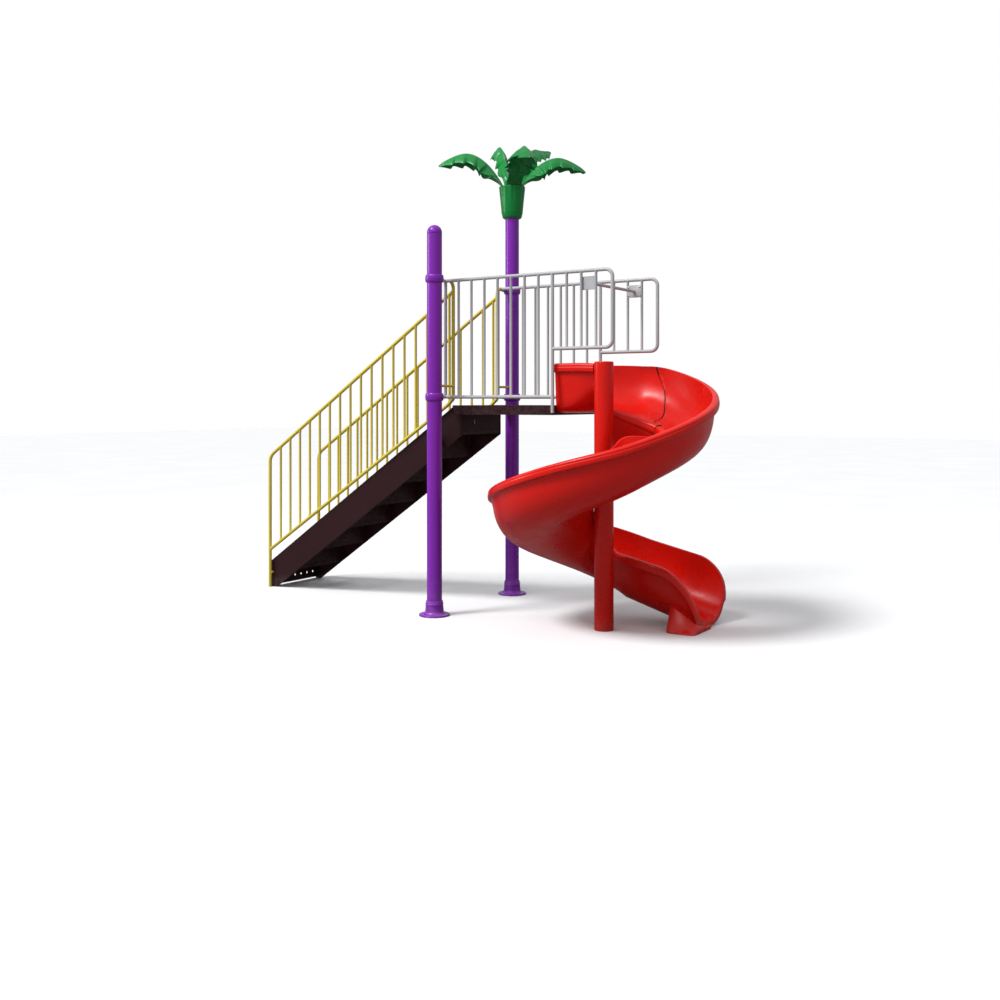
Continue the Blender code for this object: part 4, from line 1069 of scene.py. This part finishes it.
def grooved_rim():
    """The rolled rim's outline, with a shallow groove along its outer face."""
    outline = []
    for out, down in smooth_path(RIM_OUTLINE, RIM_STEPS):
        groove = RIM_GROOVE_DEPTH * math.exp(-((down - RIM_GROOVE_PLACE) / RIM_GROOVE_SPAN) ** 2)
        outline.append((out - (groove if out > 0.035 else 0.0), down))
    return outline


RIM_PROFILE = grooved_rim()
MIDDLE_OUTSIDE = 3 * SIDE_STEPS + len(RIM_PROFILE)
OUTSIDE_START = 2 * SIDE_STEPS + 1 + len(RIM_PROFILE)
OUTSIDE_END = OUTSIDE_START + 2 * SIDE_STEPS - 1
SECTION_POINTS = 4 * SIDE_STEPS + 2 * len(RIM_PROFILE)


def rim(lip, drop, side, scale):
    """The rolled rim from the lip outwards and down; side is +1 away from the post, -1 towards it."""
    return [(lip + side * out, -drop + down * scale) for out, down in RIM_PROFILE]


def trough_section(inner, inner_drop, outer, outer_drop, depth, squareness=TROUGH_SQUARENESS,
                   skin=TROUGH_SKIN, middle=None, inner_standoff=WALL_STANDOFF):
    """The trough's outline as (radius, height below the rim's level) round its whole skin."""
    lip_out = outer - RIM_WIDTH
    lip_in = inner + RIM_WIDTH
    middle = middle or between(inner, outer, FLOOR_PLACE)
    full = depth + skin
    in_scale, out_scale = (
        min(1.0, LOW_RIM_SHARE * (full - drop) / RIM_HEIGHT) for drop in (inner_drop, outer_drop))
    in_foot, out_foot = inner_drop + RIM_HEIGHT * in_scale, outer_drop + RIM_HEIGHT * out_scale
    inside = side_curve(middle, lip_out, outer_drop, depth) + [(middle, -depth)]
    inside += side_curve(middle, lip_in, inner_drop, depth)[::-1]
    wall_in = side_curve(middle, lip_in - inner_standoff, in_foot, full, squareness)
    wall_out = side_curve(middle, lip_out + WALL_STANDOFF, out_foot, full)
    outside = wall_in[1:] + [(middle, -full)] + wall_out[:0:-1]
    inner_rim = rim(lip_in, inner_drop, -1, in_scale)
    outer_rim = rim(lip_out, outer_drop, 1, out_scale)
    return inside + inner_rim + outside + outer_rim[::-1]


def spiral_rim_top(degrees):
    """The outer rim's height: level at the entry, a steady drop, then less steep in the low turn."""
    steady = RIM_TOP_AT_START - RIM_DROP_PER_DEGREE * degrees
    below_entry = RIM_TOP_AT_ENTRY - steady
    eased = RIM_TOP_AT_ENTRY - (below_entry + math.hypot(below_entry, ENTRY_EASE)) / 2
    sag = RIM_SAG * math.exp(-((degrees - RIM_SAG_PLACE) / RIM_SAG_SPAN) ** 2)
    return eased - sag + LOW_TURN_RISE * smooth_step((degrees - LOW_TURN_START) / LOW_TURN_SPAN)


def trough_depth(degrees):
    return TROUGH_DEPTH + DEPTH_GAIN * smooth_step((degrees - DEPTH_GAIN_START) / DEPTH_GAIN_SPAN)


def spiral_inner(degrees):
    """Inner edge's radius and drop: a low lip that swings out, then a full wall by the post."""
    for before, after in zip(INNER_EDGE, INNER_EDGE[1:]):
        if degrees < after[0]:
            part = smooth_step((degrees - before[0]) / (after[0] - before[0]))
            return between(before[1], after[1], part), between(before[2], after[2], part)
    return INNER_EDGE[-1][1:]


@functools.lru_cache(maxsize=None)
def spiral_section(degrees):
    inner, drop = spiral_inner(degrees)
    close = smooth_step((degrees - CLOSE_START) / CLOSE_START_SPAN)
    close *= 1 - smooth_step((degrees - CLOSE_END) / CLOSE_END_SPAN)
    standoff = between(WALL_STANDOFF, CLOSE_STANDOFF, close)
    return trough_section(inner, drop, RIM_RADIUS, 0.0, trough_depth(degrees), inner_standoff=standoff)


def spiral_point(degrees, index, out=0.0):
    """Point number index of the section at that turn; out moves it away from the trough's inside."""
    degrees = round(degrees, 2)
    radius, height = spiral_section(degrees)[index]
    if out:
        middle = between(spiral_inner(degrees)[0], RIM_RADIUS, FLOOR_PLACE)
        away = Vector((radius - middle, height + trough_depth(degrees) * 0.35)).normalized() * out
        radius, height = radius + away.x, height + away.y
    turn = math.radians(degrees)
    place = (AXIS_X + radius * math.sin(turn), AXIS_Y + radius * math.cos(turn))
    return Vector((*place, spiral_rim_top(degrees) + height))


def seam_degrees(index):
    """The seam's turn at a point of the section: it runs aslant from the outer to the inner rim."""
    if index <= 2 * SIDE_STEPS:
        part = index / SIDE_STEPS
    elif index < OUTSIDE_START:
        part = 2.0
    else:
        part = max(1 + (MIDDLE_OUTSIDE - index) / (SIDE_STEPS - 1), 0.0)
    for before, after in zip(SEAM_TURNS, SEAM_TURNS[1:]):
        if part <= after[0]:
            return between(before[1], after[1], (part - before[0]) / (after[0] - before[0]))
    return SEAM_TURNS[-1][1]


def seam_loop(index, outline):
    """An outline round the seam at a point of the section, of turns beside it and depths."""
    return [spiral_point(seam_degrees(index) + turn, index, out) for turn, out in outline]


def strip_cap(shape, row):
    """Closes a trough's end with a strip across its skin, from the floor's middle to both rims."""
    for way in (1, -1):
        for t in range((MIDDLE_OUTSIDE - SIDE_STEPS) // 2):
            a, b = SIDE_STEPS + way * t, MIDDLE_OUTSIDE - way * t
            corners = dict.fromkeys(row[k % len(row)] for k in (a, a + way, b - way, b))
            if len(corners) > 2:
                shape.faces.append(tuple(corners))


def trough_run(shape, loops):
    """A trough through the loops, closed with a strip at each end."""
    rows = shape.loft(loops, False)
    strip_cap(shape, rows[0])
    strip_cap(shape, rows[-1])


def straight_loop(x, rim_top, section):
    return [(x, AXIS_Y + radius, rim_top + height) for radius, height in section]


def entry_share(x):
    """How far the entry has flowed into the spiral."""
    return smooth_step((x - ENTRY_START_X) / (AXIS_X - ENTRY_START_X))


def entry_loop(x, inner, drop, squareness):
    """A section of the entry, whose far wall and floor flow into the spiral."""
    share = entry_share(x)
    outer = between(ENTRY_FAR_Y - AXIS_Y, RIM_RADIUS, share)
    start = between(ENTRY_NEAR_Y - AXIS_Y, ENTRY_FAR_Y - AXIS_Y, FLOOR_PLACE)
    middle = between(start, between(spiral_inner(0.0)[0], RIM_RADIUS, FLOOR_PLACE), share)
    top = between(RIM_TOP_AT_ENTRY, spiral_rim_top(0.0), share ** 4)
    section = trough_section(inner, drop, outer, 0.0, TROUGH_DEPTH, squareness, middle=middle)
    return straight_loop(x, top, section)


def build_slide_entry():
    post_left = SLIDE_POST[0] - SLIDE_POST_RADIUS
    loops = []
    for i in range(ENTRY_STEPS + 1):
        x = between(ENTRY_START_X, post_left - 0.0008, i / ENTRY_STEPS)
        along = smooth_step((x - ENTRY_START_X) / (post_left - ENTRY_START_X))
        squareness = between(ENTRY_SQUARENESS, TROUGH_SQUARENESS, along)
        loops.append(entry_loop(x, ENTRY_NEAR_Y - AXIS_Y, 0.0, squareness))
    for i in range(4):
        loops.append(entry_loop(between(post_left, AXIS_X, i / 4), *spiral_inner(0.0), TROUGH_SQUARENESS))
    for i in range(ENTRY_TURN_STEPS + 1):
        loops.append([
            spiral_point((seam_degrees(k) - SEAM_HALF_GAP_DEGREES) * i / ENTRY_TURN_STEPS, k)
            for k in range(SECTION_POINTS)
        ])
    entry = Shape()
    trough_run(entry, loops)
    entry.piece("slide_entry_shell", RED, ["slide_entry"], 32)


def exit_rim_top(x):
    return spiral_rim_top(360.0) - EXIT_SLOPE * (x - AXIS_X)


def exit_skin(x):
    skin = TROUGH_SKIN + EXIT_SKIN_GAIN * (x - AXIS_X) / (EXIT_END_X - AXIS_X)
    return min(skin, exit_rim_top(x) - trough_depth(360.0) - EXIT_GROUND_CLEARANCE)


def rounded_end(x, corner):
    along = max(x - (EXIT_END_X - corner), 0.0)
    return corner - math.sqrt(max(corner ** 2 - along ** 2, 0.0))


def cut_wall(middle, lip, drop):
    power = 2 / TROUGH_SQUARENESS
    return middle + (lip - middle) * math.cos(wall_start(drop, trough_depth(360.0), power)) ** power


def exit_section(x):
    """A section near the open end: the walls keep their curve and are cut down to the rounded end."""
    outer_drop = rounded_end(x, EXIT_CORNER)
    inner_drop = INNER_WALL_DROP + rounded_end(x, EXIT_NEAR_CORNER)
    middle = between(INNER_RADIUS, RIM_RADIUS, FLOOR_PLACE)
    outer = cut_wall(middle, RIM_RADIUS - RIM_WIDTH, outer_drop) + RIM_WIDTH
    inner = cut_wall(middle, INNER_RADIUS + RIM_WIDTH, inner_drop - INNER_WALL_DROP) - RIM_WIDTH
    part = (x - AXIS_X) / (EXIT_END_X - AXIS_X)
    squareness = between(TROUGH_SQUARENESS, EXIT_SQUARENESS, part)
    depth = trough_depth(360.0)
    return trough_section(inner, inner_drop, outer, outer_drop, depth, squareness, exit_skin(x))


def exit_places():
    """The places of the exit's sections along X, closer together where the walls round down."""
    straight = EXIT_END_X - EXIT_NEAR_CORNER
    places = [between(AXIS_X, straight, i / 10) for i in range(10)]
    for i in range(29):
        places.append(EXIT_END_X - EXIT_NEAR_CORNER * (1 - math.sin(math.radians(90 * i / 28))))
    return places


def build_slide_channel():
    """The spiral and the exit in one shell, from the seam down to the open end."""
    loops = []
    seam_rim = SEAM_TURNS[0][1]
    for i in range(SPIRAL_STEPS):
        nominal = between(seam_rim, 360.0, i / SPIRAL_STEPS)
        fade = 1 - smooth_step((nominal - seam_rim) / SEAM_FADE_DEGREES)
        loops.append([
            spiral_point(nominal + (seam_degrees(k) + SEAM_HALF_GAP_DEGREES - seam_rim) * fade, k)
            for k in range(SECTION_POINTS)
        ])
    for x in exit_places():
        loops.append(straight_loop(x, exit_rim_top(x), exit_section(x)))
    channel = Shape()
    trough_run(channel, loops)
    nodes = ["slide_spiral_upper", "slide_spiral_lower", "slide_exit"]
    channel.piece("slide_channel_shell", RED, nodes, 32)


def build_inner_web():
    """The moulded web under the low inner lip, which ties the first turn to the slide's post."""
    web = Shape()
    loops = []
    for i in range(WEB_STEPS + 1):
        part = i / WEB_STEPS
        degrees = between(WEB_START_DEGREES, WEB_END_DEGREES, part)
        inner, drop = spiral_inner(degrees)
        top = spiral_rim_top(degrees) - drop - WEB_TOP_DROP
        bottom = min(between(WEB_LOW, WEB_LOW_END, smooth_step(part)), top - WEB_EDGE)
        near, far = inner + WEB_INSET, inner + WEB_INSET + WEB_THICKNESS
        turn = math.radians(degrees)
        loops.append([
            (AXIS_X + radius * math.sin(turn), AXIS_Y + radius * math.cos(turn), height)
            for radius, height in (
                (near, top), (near, bottom + 0.006), (near + WEB_EDGE, bottom),
                (far - WEB_EDGE, bottom), (far, bottom + 0.006), (far, top))
        ])
    web.loft(loops)
    web.piece("slide_inner_web", RED, sharp=40)


def build_joint_strap():
    """A strap under the seam, on the outside, with bolts that hold the two mouldings together."""
    strap = Shape()
    strap.loft([seam_loop(k, STRAP_OUTLINE) for k in range(OUTSIDE_START, OUTSIDE_END)])
    strap.piece("slide_joint_strap", RED, sharp=40)
    for k in range(OUTSIDE_START + 3, OUTSIDE_END - 2, 5):
        for side in (-1, 1):
            turn = seam_degrees(k) + side * STRAP_DEGREES * 0.55
            place = spiral_point(turn, k, STRAP_THICKNESS)
            bolt(bolts, place, place - spiral_point(turn, k), *STRAP_BOLT)


def build_joint_seal():
    """A dark rubber strip that fills the seam, just below both faces of the skin."""
    seal = Shape()
    loops = []
    for k in range(SECTION_POINTS):
        sunk = SEAL_DEPTH if k <= 2 * SIDE_STEPS else -SEAL_DEPTH
        half = SEAM_HALF_GAP_DEGREES * 1.5
        outline = (-half, sunk), (half, sunk), (half, sunk * 2.5), (-half, sunk * 2.5)
        loops.append(seam_loop(k, outline))
    rows = seal.loft(loops, False)
    seal.bridge(rows[-1], rows[0])
    seal.piece("slide_joint_seal", RUBBER, sharp=60)


def exit_hull(inset, start, end, top_rise=None):
    """Loops round the exit's outside, moved inwards: its low walls only, or all up past the rims."""
    loops = []
    middle = between(INNER_RADIUS, RIM_RADIUS, FLOOR_PLACE)
    for x in [start] + [x for x in exit_places() if start < x < end] + [end]:
        station = min(max(x, AXIS_X), EXIT_END_X - 0.0001)
        rim_top = exit_rim_top(station)
        section = exit_section(station)
        section = section[2 * SIDE_STEPS + 1:] if top_rise else section[OUTSIDE_START:OUTSIDE_END]
        loop = []
        for radius, height in section:
            away = Vector((radius - middle, height + trough_depth(360.0) * 0.4)).normalized() * inset
            loop.append((x, AXIS_Y + radius - away.x, rim_top + height - away.y))
        if top_rise:
            loop += [(x, y, rim_top + top_rise) for y in (loop[-1][1], loop[0][1])]
        else:
            loop = [(x, y, min(z, FOOT_BLEND_TOP)) for x, y, z in loop]
        loops.append(loop)
    return loops


def foot_plan():
    """The foot's outline on the ground, cut into short steps."""
    half_way = between(FOOT_NEAR_Y, FOOT_FAR_Y, 0.5)
    rounded = filleted([
        (FOOT_START_X, half_way, 0.0),
        (FOOT_START_X, FOOT_NEAR_Y, 0.0),
        (FOOT_END_X, FOOT_NEAR_Y, 0.0),
        (FOOT_END_X, FOOT_FAR_Y - FOOT_FAR_CHAMFER, 0.0),
        (FOOT_FAR_CHAMFER_X, FOOT_FAR_Y, 0.0),
        (FOOT_START_X, FOOT_FAR_Y, 0.0),
        (FOOT_START_X, half_way, 0.0),
    ], FOOT_CORNER, 8)
    plan = []
    for start, end in zip(rounded, rounded[1:]):
        cuts = math.ceil((end - start).length / FOOT_EDGE_STEP)
        plan += [start.lerp(end, i / cuts) for i in range(cuts)]
    return plan


def foot_top(place):
    """The upper edge above a place of the plan: it slopes to the toe and rises at the near side."""
    half_way = between(FOOT_NEAR_Y, FOOT_FAR_Y, 0.5)
    part = (place.x - FOOT_START_X) / (FOOT_END_X - FOOT_START_X)
    near_share = smooth_step((half_way - place.y) / (half_way - FOOT_NEAR_Y))
    height = between(FOOT_TOP, FOOT_TOE_TOP, part) + FOOT_NEAR_RISE * near_share * (1 - part ** 2)
    return place.x, place.y + FOOT_NEAR_LEAN * near_share, height


def build_slide_foot():
    """The moulded foot: a block that flows softly into the exit's walls, cut off within their skin."""
    plan = foot_plan()
    block = Shape()
    block.loft([plan, [foot_top(place) for place in plan]])
    block.loft(exit_hull(FOOT_SINK, FOOT_START_X - 0.10, EXIT_END_X - 0.012))
    foot = block.piece("slide_foot_moulding", RED, ["slide_foot"], 60)
    add_modifier(foot, "blended", "REMESH", mode="VOXEL", voxel_size=FOOT_VOXEL)
    add_modifier(foot, "softened", "SMOOTH", factor=0.5, iterations=FOOT_SOFTENINGS)
    cutter = Shape()
    start, end = FOOT_START_X - 0.20, EXIT_END_X + 0.10
    cutter.loft(exit_hull(FOOT_SINK + FOOT_TRIM_GAP, start, end, FOOT_TRIM_RISE))
    trim = cutter.piece("foot_trim", RED)
    add_modifier(foot, "trimmed", "BOOLEAN", operation="DIFFERENCE", solver="EXACT", object=trim)
    apply_modifiers(foot)
    bpy.data.objects.remove(trim, do_unlink=True)
    points = foot.data.vertices
    low = min(point.co.z for point in points)
    for point in points:
        point.co.z = max(point.co.z, 0.0) if point.co.z > low + FOOT_FLAT_BAND else 0.0
    foot.data.shade_smooth()


def apply_modifiers(made):
    view = bpy.context.evaluated_depsgraph_get()
    mesh = bpy.data.meshes.new_from_object(made.evaluated_get(view))
    made.modifiers.clear()
    old = made.data
    made.data = mesh
    bpy.data.meshes.remove(old)
    mesh.name = made.name


def build_slide_post():
    edge = (SLIDE_POST_RADIUS - SLIDE_POST_EDGE, SLIDE_POST_TOP - SLIDE_POST_EDGE)
    profile = [(0.0, SLIDE_POST_TOP), *arc_profile(edge, SLIDE_POST_EDGE, 90, 0, 8)]
    profile += [(SLIDE_POST_RADIUS, 0.003), (SLIDE_POST_RADIUS - 0.002, 0.0), (0.0, 0.0)]
    post = Shape()
    turned(post, profile, SLIDE_POST)
    post.piece("slide_post_tube", RED, ["slide_post"], 40)


def place_object(name, data, place, direction):
    """Adds a camera or a light that looks in a direction."""
    made = bpy.data.objects.new(name, data)
    made.location = place
    made.rotation_euler = direction.to_track_quat("-Z", "Y").to_euler()
    bpy.context.scene.collection.objects.link(made)
    return made


def build_camera():
    lens = bpy.data.cameras.new("photo_view")
    lens.sensor_width = 36.0
    lens.lens = LENS
    lens.shift_y = LENS_SHIFT
    camera = place_object("photo_view", lens, EYE, VIEW_DIRECTION)
    bpy.context.scene.camera = camera


def add_light(name, kind, place, power, size, height):
    """A light that shines on the object; a sun's size is its angle, a height makes a softbox oblong."""
    lamp = bpy.data.lights.new(name, kind)
    lamp.energy = power
    if kind == "SUN":
        lamp.angle = math.radians(size)
    else:
        lamp.size = size
        lamp.shape = "RECTANGLE" if height else "DISK"
        lamp.size_y = height or size
    right, ahead, up = place
    side = VIEW_DIRECTION.cross(UP).normalized()
    offset = side * right + VIEW_DIRECTION.normalized() * ahead + UP * up
    place_object(name, lamp, LIT_PLACE + offset, -offset)


def build_sky():
    """White behind the object, and a softer light that grows towards the top on the object."""
    sky = Nodes(bpy.data.worlds.new("pale_sky"), "Generated")
    soft = sky.tree.nodes["Background"]
    soft.inputs["Color"].default_value = SKY_COLOUR
    sky.link(sky.ranged(sky.height(), -0.1, 0.9, SKY_LOW, SKY_HIGH), soft.inputs["Strength"])
    behind = sky.add("ShaderNodeBackground", Color=(1.0, 1.0, 1.0, 1.0))
    seen = sky.add("ShaderNodeLightPath").outputs["Is Camera Ray"]
    choose = sky.add("ShaderNodeMixShader")
    for source, target in zip((seen, soft.outputs[0], behind.outputs[0]), choose.inputs):
        sky.link(source, target)
    sky.link(choose.outputs["Shader"], sky.tree.nodes["World Output"].inputs["Surface"])
    return sky.owner


def build_stage():
    """A pale floor, a bright sky, and a soft key light and two softboxes from the camera's left."""
    mesh = bpy.data.meshes.new("floor")
    mesh.from_pydata([(x * FLOOR_REACH, y * FLOOR_REACH, 0.0) for x, y in SQUARE], [], [(0, 1, 2, 3)])
    mesh.materials.append(floor_finish())
    floor = bpy.data.objects.new("floor", mesh)
    floor.location.z = -0.0005
    bpy.context.scene.collection.objects.link(floor)
    bpy.context.scene.world = build_sky()
    for name, light in LIGHTS.items():
        add_light(name, *light)
    bpy.context.scene.view_settings.view_transform = "Standard"


bolts = Shape()
build_camera()
build_stage()
build_posts()
build_post_plugs()
build_clamps()
build_barriers()
build_safety_bar()
build_handrails()
build_deck()
build_steps()
dress_sheets()
build_palm_collar()
for index, leaf in enumerate(zip(LEAF_AZIMUTHS, LEAF_PEAKS, LEAF_TIPS, LEAF_HALF_WIDTHS)):
    build_palm_leaf(index + 1, *leaf)
build_slide_post()
build_slide_entry()
build_slide_channel()
build_inner_web()
build_joint_strap()
build_joint_seal()
build_slide_foot()
bolts.piece("bolt_heads", STEEL, sharp=45)
